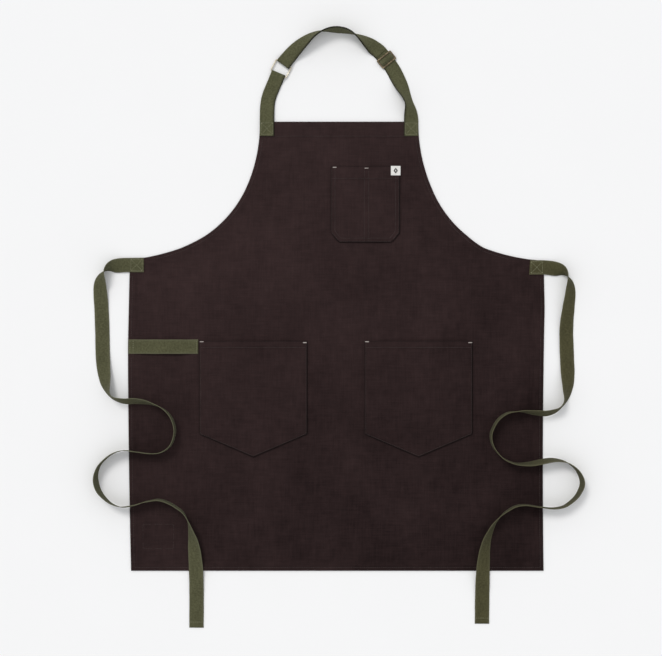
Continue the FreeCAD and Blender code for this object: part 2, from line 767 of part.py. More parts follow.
def crossed_box(left, bottom, height, inset=2.2):
    """Box with a cross inside, as sewn through a strap's end."""
    width = size("webbing_width")
    low_x, low_y = left + inset, bottom + inset
    high_x, high_y = left + width - inset, bottom + width - inset
    frame = stitch_line([(low_x, low_y), (high_x, low_y), (high_x, high_y), (low_x, high_y)],
                        height, closed=True)
    rising = stitch_line([(low_x, low_y), (high_x, high_y)], height)
    falling = stitch_line([(low_x, high_y), (high_x, low_y)], height)
    return frame.fuse([rising, falling])


SEAM_INSET = 2.5        # lower pocket stitching, in from the pocket's edge
CHEST_INSET = 2.0       # chest pocket and care label stitching, in from the edge
EDGE_INSET = 1.5        # rows that follow a folded edge closely
MOUTH_DROP = 4.0        # where a pocket's side stitching starts, below its mouth
LABEL_DROP = 20.0       # the same beside the woven label
HEM_BREAK = 15.0        # the side stitching stops this far above and below the towel loop
FACING_INSET = 0.6      # stitching of the bib's top hem, in from the hem's fold
LOOP_ROW_LEFT = 6.0     # stitching across the towel loop's ends, in from each end
LOOP_ROW_RIGHT = 3.0


def make_hem_stitching():
    hem_top = size("hem_height")
    inset = size("hem_width") / 2
    half = size("hem_half_width") - inset
    low = size("hem_line") + inset
    corner_drop = size("corner_patch")
    left_hip = size("left_hip_x") + inset
    above_loop = stitch_line([
        (size("corner_left_x") + inset, size("corner_left_y") - corner_drop),
        (left_hip, size("left_hip_y") + HEM_BREAK)], hem_top)
    round_the_hem = stitch_line([
        (left_hip, size("left_hip_y") - HEM_BREAK), (-half, low), (half, low),
        (size("right_hip_x") - inset, size("right_hip_y")),
        (size("corner_right_x") - inset, size("corner_right_y") - corner_drop)], hem_top)
    set_shape("skirt_hem_stitching", above_loop.fuse(round_the_hem))
    facing = size("bib_top - top_hem_width") + FACING_INSET
    set_shape("bib_hem_stitching", stitch_line([
        (size("bib_left_top") + CHEST_INSET, facing),
        (size("bib_right_top") - CHEST_INSET, facing)], hem_top))


def make_pocket_stitching():
    seam_top = size("canvas_thickness * 2")
    for label, middle in (("left_pocket", "left_pocket_x"), ("right_pocket", "right_pocket_x")):
        x = size(middle)
        edge = size("pocket_width / 2") - SEAM_INSET
        mouth = size("pocket_mouth")
        side = mouth - size("pocket_side") + EDGE_INSET
        tip = side - size("pocket_point") + EDGE_INSET
        set_shape(label + "_stitching", stitch_line([
            (x - edge, mouth - MOUTH_DROP), (x - edge, side), (x, tip), (x + edge, side),
            (x + edge, mouth - MOUTH_DROP)], seam_top))
        make_bartacks(label + "_bartacks", mouth - EDGE_INSET,
                      [x - edge + EDGE_INSET, x + edge - EDGE_INSET])
    left, mouth = size("chest_left"), size("chest_mouth")
    right = left + size("chest_width")
    bottom = mouth - size("chest_depth")
    wide, tall = size("chest_corner_wide"), size("chest_corner_tall")
    low = bottom + CHEST_INSET
    outer = stitch_line([
        (left + CHEST_INSET, mouth - MOUTH_DROP), (left + CHEST_INSET, bottom + tall),
        (left + wide, low), (right - wide, low), (right - CHEST_INSET, bottom + tall),
        (right - CHEST_INSET, mouth - LABEL_DROP)], seam_top)
    dividers = [stitch_line([(left + x, mouth - MOUTH_DROP), (left + x, low)], seam_top)
                for x in (size("pencil_width"), size("pencil_width + divider_width"))]
    set_shape("chest_pocket_stitching", outer.fuse(dividers))
    make_bartacks("chest_pocket_bartacks", mouth - EDGE_INSET,
                  [left + size("bartack_length / 2"),
                   left + size("pencil_width + divider_width / 2")])


def make_label_and_loop_stitching():
    cloth_top = size("canvas_thickness")
    left = size("care_left") + CHEST_INSET
    top = size("care_top") - CHEST_INSET
    right = size("care_left + care_width") - CHEST_INSET
    low = size("care_top - care_height") + CHEST_INSET
    set_shape("care_label_stitching", stitch_line([
        (left, low), (right, low), (right, top), (left, top)], cloth_top, closed=True))
    web = size("webbing_width")
    thick = size("webbing_thickness")
    loop_low = size("loop_middle") - web / 2
    rows = [stitch_line([(x, loop_low + EDGE_INSET), (x, loop_low + web - EDGE_INSET)], height)
            for x, height in ((size("loop_left") + LOOP_ROW_LEFT, size("hem_height") + thick),
                              (size("loop_right") - LOOP_ROW_RIGHT, cloth_top + thick))]
    set_shape("towel_loop_stitching", rows[0].fuse(rows[1]))


def make_strap_end_stitching():
    web = size("webbing_width")
    thick = size("webbing_thickness")
    single = size("hem_height") + thick
    neck_low = size("bib_top") - web
    set_shape("neck_strap_stitching",
              crossed_box(ANCHOR_STRAP[0][0] - web / 2, neck_low, single + thick).fuse(
                  crossed_box(LOWER_STRAP[-1][0] - web / 2, neck_low, single)))
    set_shape("tie_end_stitching",
              crossed_box(LEFT_TIE[0][0], LEFT_TIE[0][1] - web / 2, single).fuse(
                  crossed_box(RIGHT_TIE[0][0] - web, RIGHT_TIE[0][1] - web / 2, single)))


def make_bartacks(label, y, middles):
    """Short dense tacks at a pocket's mouth, as separate solids of one group."""
    tacks = []
    for number, x in enumerate(middles, start=1):
        tack = document.addObject("Part::Box", "%s_%d" % (label, number))
        tack.setExpression("Length", linked("bartack_length"))
        tack.setExpression("Width", linked("bartack_width"))
        tack.setExpression("Height", linked("bartack_height"))
        tack.Placement.Base = Vector(x - size("bartack_length / 2"),
                                     y - size("bartack_width / 2"), size("canvas_thickness * 2"))
        tacks.append(tack)
    group = document.addObject("Part::Compound", label)
    group.Links = tacks
    keep(group, label)


make_skirt()
make_bib()
make_pointed_pocket("left_pocket", "left_pocket_x")
make_pointed_pocket("right_pocket", "right_pocket_x")
make_chest_pocket()
make_labels()
make_towel_loop()
make_tie("left", LEFT_TIE, 1)
make_tie("right", RIGHT_TIE, -1)
make_neck_straps()
make_ring()
make_slider()
make_hem_stitching()
make_pocket_stitching()
make_label_and_loop_stitching()
make_strap_end_stitching()

document.recompute()
for item in document.Objects:
    if "Invalid" in item.State or "Error" in item.State:
        raise RuntimeError(item.Label + " failed: " + ", ".join(item.State))
os.makedirs("parts", exist_ok=True)
for item in nodes:
    if item.Shape.isNull() or not item.Shape.isValid():
        raise RuntimeError(item.Label + " has no valid shape")
    item.Shape.exportStep("parts/" + item.Label + ".step")
    box = item.Shape.BoundBox
    print("%-24s solids %d  x %7.1f %7.1f  y %7.1f %7.1f  z %6.2f %6.2f" % (
        item.Label, len(item.Shape.Solids), box.XMin, box.XMax, box.YMin, box.YMax,
        box.ZMin, box.ZMax))
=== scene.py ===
"""Canvas bib apron laid flat on a pale floor, seen from straight above.

Everything is in metres in the CAD frame. Design sizes are written in millimetres and
scaled by MM. Cloth and webbing are thin closed shells; sewing threads are real geometry.
"""

import math

import bpy
import numpy as np
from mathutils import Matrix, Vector


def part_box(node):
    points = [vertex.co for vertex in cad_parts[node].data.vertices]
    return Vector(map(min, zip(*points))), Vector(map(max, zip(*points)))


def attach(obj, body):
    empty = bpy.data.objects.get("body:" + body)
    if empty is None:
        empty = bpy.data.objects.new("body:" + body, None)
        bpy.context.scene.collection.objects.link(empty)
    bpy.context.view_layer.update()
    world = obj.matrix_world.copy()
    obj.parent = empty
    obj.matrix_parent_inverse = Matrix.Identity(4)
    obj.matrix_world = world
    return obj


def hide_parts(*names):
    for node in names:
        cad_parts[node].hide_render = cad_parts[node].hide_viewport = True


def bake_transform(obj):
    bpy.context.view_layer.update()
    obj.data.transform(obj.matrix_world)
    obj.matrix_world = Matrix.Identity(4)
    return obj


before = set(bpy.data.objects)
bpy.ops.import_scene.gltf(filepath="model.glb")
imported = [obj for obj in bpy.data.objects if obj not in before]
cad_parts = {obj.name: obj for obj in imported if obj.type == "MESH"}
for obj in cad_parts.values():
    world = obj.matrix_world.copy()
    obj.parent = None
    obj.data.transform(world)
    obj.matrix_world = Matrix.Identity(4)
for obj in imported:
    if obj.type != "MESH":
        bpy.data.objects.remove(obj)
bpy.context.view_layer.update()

MM = 0.001
UP = np.array([0.0, 0.0, 1.0])

# ---- design sizes, in mm
CLOTH = 1.0                 # one layer of canvas
HEM_WIDTH = 12.0
FACING = 27.0               # folded band at the bib's top
CLOTH_ROUND = 0.6           # radius of a cloth edge
WEB_WIDTH = 25.4
WEB_THICK = 1.2
HEM_TOP = 2.0
SEWN_ON = HEM_TOP + WEB_THICK / 2 + 0.1     # middle of webbing sewn on the hem
LAYER_GAP = 0.05            # between two layers of webbing

# panel outline, from the hem up: straight corners, and arcs as (middle, end)
LEFT_SIDE = {"hem": (-364.0, -476.0), "bow": (-367.6, -290.0), "hip": (-369.5, -80.0),
             "corner": (-366.0, 76.0), "shoulder": (-340.0, 76.6)}
RIGHT_SIDE = {"hem": (364.0, -476.0), "bow": (363.0, -220.0), "hip": (366.0, -12.0),
              "corner": (364.0, 71.0), "shoulder": (338.0, 73.6)}
LEFT_ARMHOLE = [((-308.0, 83.6), (-276.1, 93.5)), ((-253.0, 104.1), (-233.7, 114.7)),
                ((-196.4, 146.4), (-161.0, 199.3)), ((-143.3, 252.3), (-136.8, 316.5))]
RIGHT_ARMHOLE = [((292.0, 83.0), (259.7, 93.5)), ((242.9, 104.1), (230.0, 114.7)),
                 ((197.8, 146.4), (166.7, 199.3)), ((149.7, 252.3), (142.9, 316.5))]

# soft folds that the cloth keeps: start, end, half width, height
SOFT_FOLDS = [((-335, 40), (-190, -35), 26, 1.3), ((-300, 70), (-215, 10), 16, 0.9),
              ((-60, 190), (-95, -20), 34, 1.2), ((-30, 60), (20, -150), 30, 1.0),
              ((250, 60), (110, -30), 30, 1.2), ((330, 30), (215, -45), 20, 0.9),
              ((20, -60), (30, -330), 22, 1.1), ((-40, -120), (-30, -300), 18, 0.7),
              ((-120, -310), (190, -345), 34, 1.1), ((-330, -300), (-170, -420), 36, 1.2),
              ((330, -330), (120, -430), 38, 1.2), ((-120, 270), (80, 262), 20, 0.7),
              ((-350, -130), (-255, -190), 22, 1.0), ((345, -110), (255, -170), 24, 1.0)]

# tie routes: x, y, height of the lower edge, lean in degrees. The points are the CAD
# source's; the lean is eased at some of them, where the webbing shows more of its face
REST = 2.6                  # lower edge of a tie where it lies on the panel
LEFT_TIE = [
    (-366.6, 63.5, 2.0, 0), (-388, 63.5, 1.0, 0), (-409, 55.5, 0, -90), (-419.5, 32, 0, -160),
    (-416.5, -3.5, 0, -178), (-414.5, -56.5, 0, -180), (-414, -104, 0, -178),
    (-409, -141, 0, -150), (-402, -168.5, 0, -95), (-378, -177, REST, -115),
    (-348, -175.5, REST, -116), (-320, -181.5, REST, -98),
    (-295, -196, REST, -90), (-283, -224, REST, -88),
    (-290.5, -256, REST, -88), (-316, -270, REST, -86),
    (-348, -266, REST, -85), (-380, -261, REST, -86), (-406, -274, 0, -88),
    (-424, -296.5, 0, -85), (-425.5, -323, 0, -75), (-410.5, -347.5, 0, -88),
    (-387, -362.5, REST, -99), (-360.5, -361, REST, -99),
    (-335.5, -351.5, REST, -92), (-311, -348, REST, -90),
    (-288, -358, REST, -90), (-268.5, -372, REST, -92),
    (-258, -397, REST, -105), (-252, -430.5, REST, -150),
    (-248.5, -478, REST, -178), (-248.2, -527.5, 0, -180), (-248.6, -576.5, 0, -180),
]
RIGHT_TIE = [
    (364.6, 59.3, 2.0, 0), (385, 58, 1.0, 0), (404.5, 47.5, 0, -90), (411.5, 25.5, 0, -140),
    (408, -7, 0, -152), (403.5, -42.5, 0, -168), (404.5, -83, 0, -175), (406.5, -125, 0, -175),
    (406, -157, 0, -140), (399, -184.5, 0, -95), (375, -198.5, REST, -118),
    (347, -196.5, REST, -112), (320.5, -193, REST, -95),
    (295, -196.5, REST, -88), (276.5, -214, REST, -89),
    (267.5, -238, REST, -88), (275.5, -262, REST, -88),
    (294, -279.5, REST, -92), (318.5, -288, REST, -92),
    (345, -285.5, REST, -105), (371.5, -279.5, REST, -105),
    (396.5, -279.5, 0, -92), (419.5, -293, 0, -85), (433.5, -317.5, 0, -78),
    (423, -343, 0, -85), (400, -362.5, 0, -90), (373.5, -365, REST, -92),
    (347, -360, REST, -92), (320.5, -357, REST, -92),
    (296, -368.5, REST, -92), (275.5, -390, REST, -108),
    (262.5, -418, REST, -128), (257.5, -450, REST, -151),
    (256, -489, REST, -173), (255.6, -529.5, 0, -180), (255.4, -569.5, 0, -180),
]
# neck loop: the anchor strap up to the ring's lower bar, and the long strap from the
# ring's upper bar over the crown, under the slider and down to the bib
LOWER_BAR = (-104.0, 400.4)
UPPER_BAR = (-94.0, 419.3)
ANCHOR_ROUTE = [(-124, 317.8, 2.0, 0), (-124, 338.5, 0.6, 0), (-121.5, 359, 0, 0),
                (-113.5, 378, 0, 0), LOWER_BAR + (0, 0)]
LONG_ROUTE = [
    UPPER_BAR + (0, 0), (-88.1, 427.3, 0, 0), (-78, 439, 0, -12), (-62, 454, 0, -35),
    (-44.5, 467.5, 0, -60), (-25, 476, 0, -82), (-2.5, 477.3, 0, -106), (20.5, 474.2, 0, -96),
    (40, 464.3, 0, -65), (57.5, 452.5, 0, -26), (65.5, 446, 0, 0), (74.6, 440.3, 0, 0),
    (96.5, 413, 0, 0), (108, 390, 0, 0), (120.5, 364.5, 0, -45), (127, 348.5, 0, -55),
    (130, 332.5, 0.8, -25), (130.2, 317.8, 2.0, 0),
]
SLIDER_MIDDLE = (86.8, 425.7)
SLIDER_AIM = (0.6198, -0.7848)
ANCHOR_TURN = 2.15          # radius of the strap's middle round the lower bar
UPPER_TURN = 3.3            # the same round the upper bar, with room for the ring to rock
DOUBLED_UNTIL = -15.0       # the strap's top layer stops this far before the slider's middle


# ---- small maths
def smooth(low, high, x):
    t = np.clip((x - low) / (high - low), 0, 1)
    return t * t * (3 - 2 * t)


def arc_points(start, middle, end, count=24):
    """Points along the circle through three points."""
    (ax, ay), (bx, by), (cx, cy) = start, middle, end
    d = 2 * (ax * (by - cy) + bx * (cy - ay) + cx * (ay - by))
    a2, b2, c2 = ax * ax + ay * ay, bx * bx + by * by, cx * cx + cy * cy
    ux = (a2 * (by - cy) + b2 * (cy - ay) + c2 * (ay - by)) / d
    uy = (a2 * (cx - bx) + b2 * (ax - cx) + c2 * (bx - ax)) / d
    first = math.atan2(ay - uy, ax - ux)
    turn = math.atan2(cy - uy, cx - ux) - first
    turn = (turn + math.pi) % (2 * math.pi) - math.pi
    angles = first + turn * np.linspace(0, 1, count)
    radius = math.hypot(ax - ux, ay - uy)
    return np.stack([ux + radius * np.cos(angles), uy + radius * np.sin(angles)], 1)


def side_line(side, armhole):
    """One side of the panel from the hem to the bib's top, in mm."""
    parts = [arc_points(side["hem"], side["bow"], side["hip"]),
             np.array([side["corner"], side["shoulder"]])]
    last = side["shoulder"]
    for middle, end in armhole:
        parts.append(arc_points(last, middle, end)[1:])
        last = end
    return np.concatenate(parts)


LEFT_LINE = side_line(LEFT_SIDE, LEFT_ARMHOLE)
RIGHT_LINE = side_line(RIGHT_SIDE, RIGHT_ARMHOLE)
OUTLINE = np.concatenate([LEFT_LINE, RIGHT_LINE[::-1], LEFT_LINE[:1]])
HEM_Y, BIB_TOP = LEFT_LINE[0][1], LEFT_LINE[-1][1]


def line_distance(x, y, line):
    """Distance in mm from each point to a chain of straight runs."""
    x, y = np.asarray(x, float), np.asarray(y, float)
    best = np.full(x.shape, 1e9)
    for (ax, ay), (bx, by) in zip(line[:-1], line[1:]):
        dx, dy = bx - ax, by - ay
        t = np.clip(((x - ax) * dx + (y - ay) * dy) / (dx * dx + dy * dy + 1e-12), 0, 1)
        best = np.minimum(best, np.hypot(x - ax - t * dx, y - ay - t * dy))
    return best


def unit_rows(vectors):
    return vectors / np.linalg.norm(vectors, axis=1)[:, None]


def running_length(points):
    steps = np.linalg.norm(np.diff(points, axis=0), axis=1)
    return np.concatenate([[0], np.cumsum(steps)])


def read_at(distance, length, points):
    """Points of a chain read at distances along it."""
    return np.stack([np.interp(distance, length, column) for column in points.T], 1)


def sides(corners):
    """Each corner of a closed shape with the next."""
    return list(zip(corners, corners[1:] + corners[:1]))


def spread(length, near, far, step):
    """Distances from 0 to length: set rows at each end and even rows between them."""
    count = max(2, round((length - near[-1] - far[-1]) / step) + 1)
    inner = np.linspace(near[-1], length - far[-1], count)
    return np.concatenate([near[:-1], inner, length - np.array(far[:-1])[::-1]])


def edge_factor(distance, radius=CLOTH_ROUND):
    """How thick a rounded edge is at a distance from its rim, from 0 to 1."""
    t = np.clip(distance / radius, 0, 1)
    return np.sqrt(1 - (1 - t) ** 2)


# ---- cloth surfaces, in mm
def cloth_lift(x, y, distance):
    """How far the panel's underside is off the floor: slow waves and soft folds."""
    bend = 18 * np.sin(x / 71 + 0.6) + 14 * np.cos(y / 83)
    waves = (0.30 * np.sin((x + 0.35 * y + bend) / 23) + 0.26 * np.sin((y - 0.2 * x + bend) / 29)
             + 0.10 * np.sin((x - 0.8 * y) / 11 + 1.3) + 0.08 * np.sin((y + 0.5 * x) / 8.3))
    lift = 0.45 + 0.55 * waves
    for start, end, half, height in SOFT_FOLDS:
        reach = line_distance(x, y, [start, end])
        lift = lift + 1.1 * height * np.exp(-(reach / half) ** 2)
    ceiling = 1.45 + 1.6 * smooth(250, 205, np.abs(x))
    return ceiling * np.tanh(np.maximum(lift, 0) / ceiling) * smooth(6, 60, distance)


def canvas_thickness(distance, y):
    hem = 1 - smooth(HEM_WIDTH - 0.8, HEM_WIDTH + 0.8, distance)
    facing = smooth(BIB_TOP - FACING - 0.8, BIB_TOP - FACING + 0.8, y)
    return CLOTH * (1 + np.maximum(hem, facing))


def canvas_top(x, y):
    distance = line_distance(x, y, OUTLINE)
    return cloth_lift(x, y, distance) + canvas_thickness(distance, np.asarray(y, float))


# ---- meshes
def link(obj):
    bpy.context.scene.collection.objects.link(obj)
    return obj


def mesh_object(name, verts, faces, material):
    mesh = bpy.data.meshes.new(name)
    mesh.from_pydata(np.asarray(verts).tolist(), [], faces)
    mesh.polygons.foreach_set("use_smooth", [True] * len(mesh.polygons))
    mesh.materials.append(material)
    mesh.update()
    return link(bpy.data.objects.new(name, mesh))


def set_attribute(obj, name, values):
    values = np.asarray(values, np.float32)
    kind, key = ("FLOAT", "value") if values.ndim == 1 else ("FLOAT_VECTOR", "vector")
    layer = obj.data.attributes.new(name, kind, "POINT")
    layer.data.foreach_set(key, values.ravel())


def shell(name, top, bottom, lay, wear_and_shade, material):
    """Closed thin shell from two grids of points in mm; their rims are welded together.

    lay is the place on the flat cloth in mm, for the weave. The rub and shade values run from 0 to
    1 where the cloth is rubbed pale, and down to -1 where a line of painted shadow is drawn.
    """
    rows, cols = top.shape[:2]
    ids = np.arange(rows * cols).reshape(rows, cols)
    upper = top.copy()
    for rim in (np.s_[0, :], np.s_[-1, :], np.s_[:, 0], np.s_[:, -1]):
        upper[rim] = (top[rim] + bottom[rim]) / 2
    inner = np.s_[1:-1, 1:-1]
    under = ids.copy()
    under[inner] = rows * cols + np.arange((rows - 2) * (cols - 2)).reshape(rows - 2, cols - 2)
    verts = np.concatenate([upper.reshape(-1, 3), bottom[inner].reshape(-1, 3)]) * MM

    def quads(index):
        return np.stack([index[:-1, :-1], index[:-1, 1:], index[1:, 1:], index[1:, :-1]],
                        -1).reshape(-1, 4)

    i, j = rows // 2, cols // 2
    across, along = top[i, j + 1] - top[i, j], top[i + 1, j] - top[i, j]
    outward = np.dot(np.cross(across, along), top[i, j] - bottom[i, j]) > 0
    above, below = quads(ids), quads(under)[:, ::-1]
    if not outward:
        above, below = above[:, ::-1], below[:, ::-1]
    faces = np.concatenate([above, below]).tolist()
    obj = mesh_object(name, verts, faces, material)
    flat = np.zeros((rows, cols, 3))
    flat[..., :2] = lay
    set_attribute(obj, "lay", np.concatenate([flat.reshape(-1, 3),
                                              flat[inner].reshape(-1, 3)]) * MM)
    rubs_and_shade = np.broadcast_to(wear_and_shade, (rows, cols))
    set_attribute(obj, "wear_and_shade", np.concatenate([rubs_and_shade.ravel(), rubs_and_shade[inner].ravel()]))
    return obj


def flat_patch(name, x, y, top, bottom, wear_and_shade, material):
    """Shell over a grid of x and y with its heights, laid out as it is."""
    lay = np.stack([x, y], -1)
    return shell(name, np.stack([x, y, top], -1), np.stack([x, y, bottom], -1), lay, wear_and_shade,
                 material)


def spline_samples(controls, resolution=20):
    """Points read from a NURBS spline with these control points."""
    curve = bpy.data.curves.new("route", "CURVE")
    curve.dimensions = "3D"
    curve.resolution_u = resolution
    spline = curve.splines.new("NURBS")
    spline.points.add(len(controls) - 1)
    for point, place in zip(spline.points, controls):
        point.co = (*place, 1.0)
    spline.order_u = 3
    spline.use_endpoint_u = True
    holder = link(bpy.data.objects.new("route", curve))
    mesh = bpy.data.meshes.new_from_object(holder)
    found = np.array([v.co[:] for v in mesh.vertices], float)
    bpy.data.objects.remove(holder)
    bpy.data.meshes.remove(mesh)
    return found


def route_frames(route, side=1):
    """Along a route in mm: the webbing's lower line, width direction and face direction."""
    base = spline_samples([[value * MM for value in point[:3]] for point in route]) / MM
    lean = spline_samples([(point[3] * MM, 0, 0) for point in route])[:, 0] / MM
    angle = np.radians(lean)[:, None]
    level = np.gradient(base, axis=0)
    level[:, 2] = 0
    level = unit_rows(level)
    across = np.cross(UP, level) * side
    wide = np.cos(angle) * across + np.sin(angle) * UP
    face = np.cross(level, wide)
    centre = base + UP * (WEB_WIDTH / 2 * np.abs(np.sin(angle))
                          + WEB_THICK / 2 * np.abs(np.cos(angle)))
    return centre, wide, face


WEB_STATIONS = np.array([-1, -0.985, -0.95, -0.86, -0.6, -0.3, 0, 0.3, 0.6, 0.86, 0.95, 0.985, 1])
WEB_PROFILE = np.array([0, 0.72, 1.08, 1.0, 0.96, 1.0, 0.97, 1.0, 0.96, 1.0, 1.08, 0.72, 0])
WEB_END = [0, 0.2, 0.6]     # rows that round the webbing's cut end


def ribbon(name, centre, wide, material, width=WEB_WIDTH, thick=WEB_THICK, step=2.4, wave=0.25,
           one_edge=False):
    """Webbing along a line: woven edges a little thicker, with a slight wave in its face."""
    length = running_length(centre)
    rows = spread(length[-1], WEB_END, WEB_END, step)
    middle = read_at(rows, length, centre)
    across = unit_rows(read_at(rows, length, wide))
    face = unit_rows(np.cross(np.gradient(middle, rows, axis=0), across))
    ends = np.minimum(rows, rows[-1] - rows)
    ripple = wave * np.sin(rows / 17 + 0.7) * np.sin(rows / 5.3) * smooth(8, 40, ends)
    half = thick / 2 * edge_factor(ends)[:, None] * WEB_PROFILE
    edge = 1 + 0.006 * np.sin(rows / 6.1)[:, None]
    offset = across[:, None, :] * (WEB_STATIONS * edge * width / 2)[..., None]
    line = middle + face * ripple[:, None]
    spots = line[:, None, :] + offset
    thickness = face[:, None, :] * half[..., None]
    lay = np.stack(np.broadcast_arrays(rows[:, None], WEB_STATIONS * width / 2), -1)
    # one_edge marks the -1 edge only, for the neck straps' line of painted shade; otherwise both
    # edges, for paler selvedges
    toward = -WEB_STATIONS if one_edge else np.abs(WEB_STATIONS)
    wear_and_shade = np.broadcast_to(smooth(0.8, 0.94, toward), half.shape)
    return shell(name, spots + thickness, spots - thickness, lay, wear_and_shade, material)


# ---- sewing
STITCH_PITCH = 3.3
STITCH_LENGTH = 2.7
THREAD = 0.34               # radius of the sewing thread
TACK_THREAD = 0.42          # the same in the dense tacks
BOX_PITCH = 2.7             # stitches in the crossed boxes
RING_SIDES = 6
STITCH_RINGS = [(0.0, 0.30, -0.9), (0.12, 0.8, 0.0), (0.5, 1.0, 0.45), (0.88, 0.8, 0.0),
                (1.0, 0.30, -0.9)]     # along, radius, height as shares


def along_path(points, pitch):
    """Even spots along a chain of points, as (start, end) of a stitch each."""
    points = np.asarray(points, float)
    length = running_length(points)
    count = max(1, int(length[-1] // pitch))
    starts = (np.arange(count) + 0.5) * length[-1] / count
    half = STITCH_LENGTH / 2 * pitch / STITCH_PITCH
    return read_at(starts - half, length, points), read_at(starts + half, length, points)


def stitch_mesh(name, pairs, material, radius=THREAD):
    """One mesh of single stitches. pairs holds (starts, ends) arrays of points in mm."""
    starts = np.concatenate([pair[0] for pair in pairs])
    ends = np.concatenate([pair[1] for pair in pairs])
    along = ends - starts
    across = unit_rows(np.cross(UP, along))
    turns = np.arange(RING_SIDES) * 2 * math.pi / RING_SIDES
    rings = []
    for share, size, height in STITCH_RINGS:
        middle = starts + along * share + UP * (height * radius)
        ring = (middle[:, None, :]
                + across[:, None, :] * (np.cos(turns) * size * radius)[None, :, None]
                + UP * (np.sin(turns) * size * radius)[None, :, None])
        rings.append(ring)
    verts = np.stack(rings, 1)
    count = len(STITCH_RINGS)
    here = np.arange(RING_SIDES)
    after = (here + 1) % RING_SIDES
    band = np.stack([here, here + RING_SIDES, after + RING_SIDES, after], 1)
    template = np.concatenate([band + ring * RING_SIDES for ring in range(count - 1)])
    stride = count * RING_SIDES
    first = np.arange(len(starts)) * stride
    faces = (template + first[:, None, None]).reshape(-1, 4).tolist()
    for n in range(len(starts)):
        faces.append([n * stride + k for k in range(RING_SIDES)])
        last = n * stride + (count - 1) * RING_SIDES
        faces.append([last + k for k in reversed(range(RING_SIDES))])
    return mesh_object(name, verts.reshape(-1, 3) * MM, faces, material)


def row_on(points, height, pitch=STITCH_PITCH):
    """Stitches along a line in x and y, resting at a height function or value."""
    start, end = along_path(points, pitch)
    heights = []
    for spot in (start, end):
        level = height(spot[:, 0], spot[:, 1]) if callable(height) else height
        heights.append(np.column_stack([spot[:, :2], np.broadcast_to(level, len(spot))]))
    return tuple(heights)


def bartack(x, y, surface, length=5.8, width=1.8, threads=12, skew=0.25, proud=0.25):
    """Dense tack: close threads across a short bar."""
    level = np.full(threads, float(surface(x, y)) + proud)
    spots = x + np.linspace(-length / 2, length / 2, threads)
    return tuple(np.stack([spots + sign * skew, np.full(threads, y + sign * width / 2), level], 1)
                 for sign in (-1, 1))


def crossed_box(middle_x, middle_y, height, inset=2.6):
    """A square of stitches with a cross inside."""
    half = WEB_WIDTH / 2 - inset
    low_x, high_x = middle_x - half, middle_x + half
    low_y, high_y = middle_y - half, middle_y + half
    corners = [(low_x, low_y), (high_x, low_y), (high_x, high_y), (low_x, high_y)]
    rows = [row_on(side, height, BOX_PITCH) for side in sides(corners)]
    rows.append(row_on([corners[0], corners[2]], height, BOX_PITCH))
    rows.append(row_on([corners[1], corners[3]], height + 0.15, BOX_PITCH))
    return rows


# ---- materials
class Finish:
    """A node material with short helpers for its procedural detail."""

    def __init__(self, name, **sockets):
        self.material = bpy.data.materials.new(name)
        self.material.use_nodes = True
        self.tree = self.material.node_tree
        self.shader = self.tree.nodes["Principled BSDF"]
        for socket, value in sockets.items():
            self.shader.inputs[socket.replace("_", " ").title().replace("Ior", "IOR")
                               ].default_value = value

    def node(self, kind, inputs=(), **settings):
        made = self.tree.nodes.new("ShaderNode" + kind)
        for key, value in settings.items():
            setattr(made, key, value)
        for socket, value in dict(inputs).items():
            if isinstance(value, bpy.types.NodeSocket):
                self.tree.links.new(value, made.inputs[socket])
            else:
                made.inputs[socket].default_value = value
        return made

    def maths(self, operation, a, b=0.0):
        return self.node("Math", {0: a, 1: b}, operation=operation).outputs[0]

    def noise(self, vector, scale, detail=3.0, rough=0.55):
        return self.node("TexNoise", {"Vector": vector, "Scale": scale, "Detail": detail,
                                      "Roughness": rough}).outputs["Fac"]

    def streaks(self, vector, scale, detail, rough=0.55):
        """Noise of its own fineness along each axis."""
        stretched = self.node("Mapping", {"Vector": vector, "Scale": scale}).outputs[0]
        return self.noise(stretched, 1.0, detail, rough)

    def wave(self, value, period):
        turns = self.maths("MULTIPLY", value, 2 * math.pi / period)
        return self.maths("SINE", turns)

    def ramp(self, value, low, high, out_low=0.0, out_high=1.0):
        return self.node("MapRange", {"Value": value, "From Min": low, "From Max": high,
                                      "To Min": out_low, "To Max": out_high}).outputs[0]

    def mix(self, factor, a, b):
        made = self.node("Mix", {0: factor}, data_type="RGBA")
        for index, value in ((6, a), (7, b)):
            if isinstance(value, bpy.types.NodeSocket):
                self.tree.links.new(value, made.inputs[index])
            else:
                made.inputs[index].default_value = (*value, 1.0)
        return made.outputs[2]

    def bump(self, height, distance, strength=1.0, under=None):
        inputs = {"Height": height, "Distance": distance, "Strength": strength}
        if under is not None:
            inputs["Normal"] = under
        return self.node("Bump", inputs).outputs[0]

    def feed(self, socket, value):
        self.tree.links.new(value, self.shader.inputs[socket])

    def attribute(self, name, output="Vector"):
        return self.node("Attribute", attribute_name=name).outputs[output]


SHADE_HEIGHTS = (-0.476, 0.3165)      # painted shade across the canvas: darkest at the hem, in metres
SHADE_WIDTHS = (-0.35, 0.35)          # and darker towards the right, away from the light
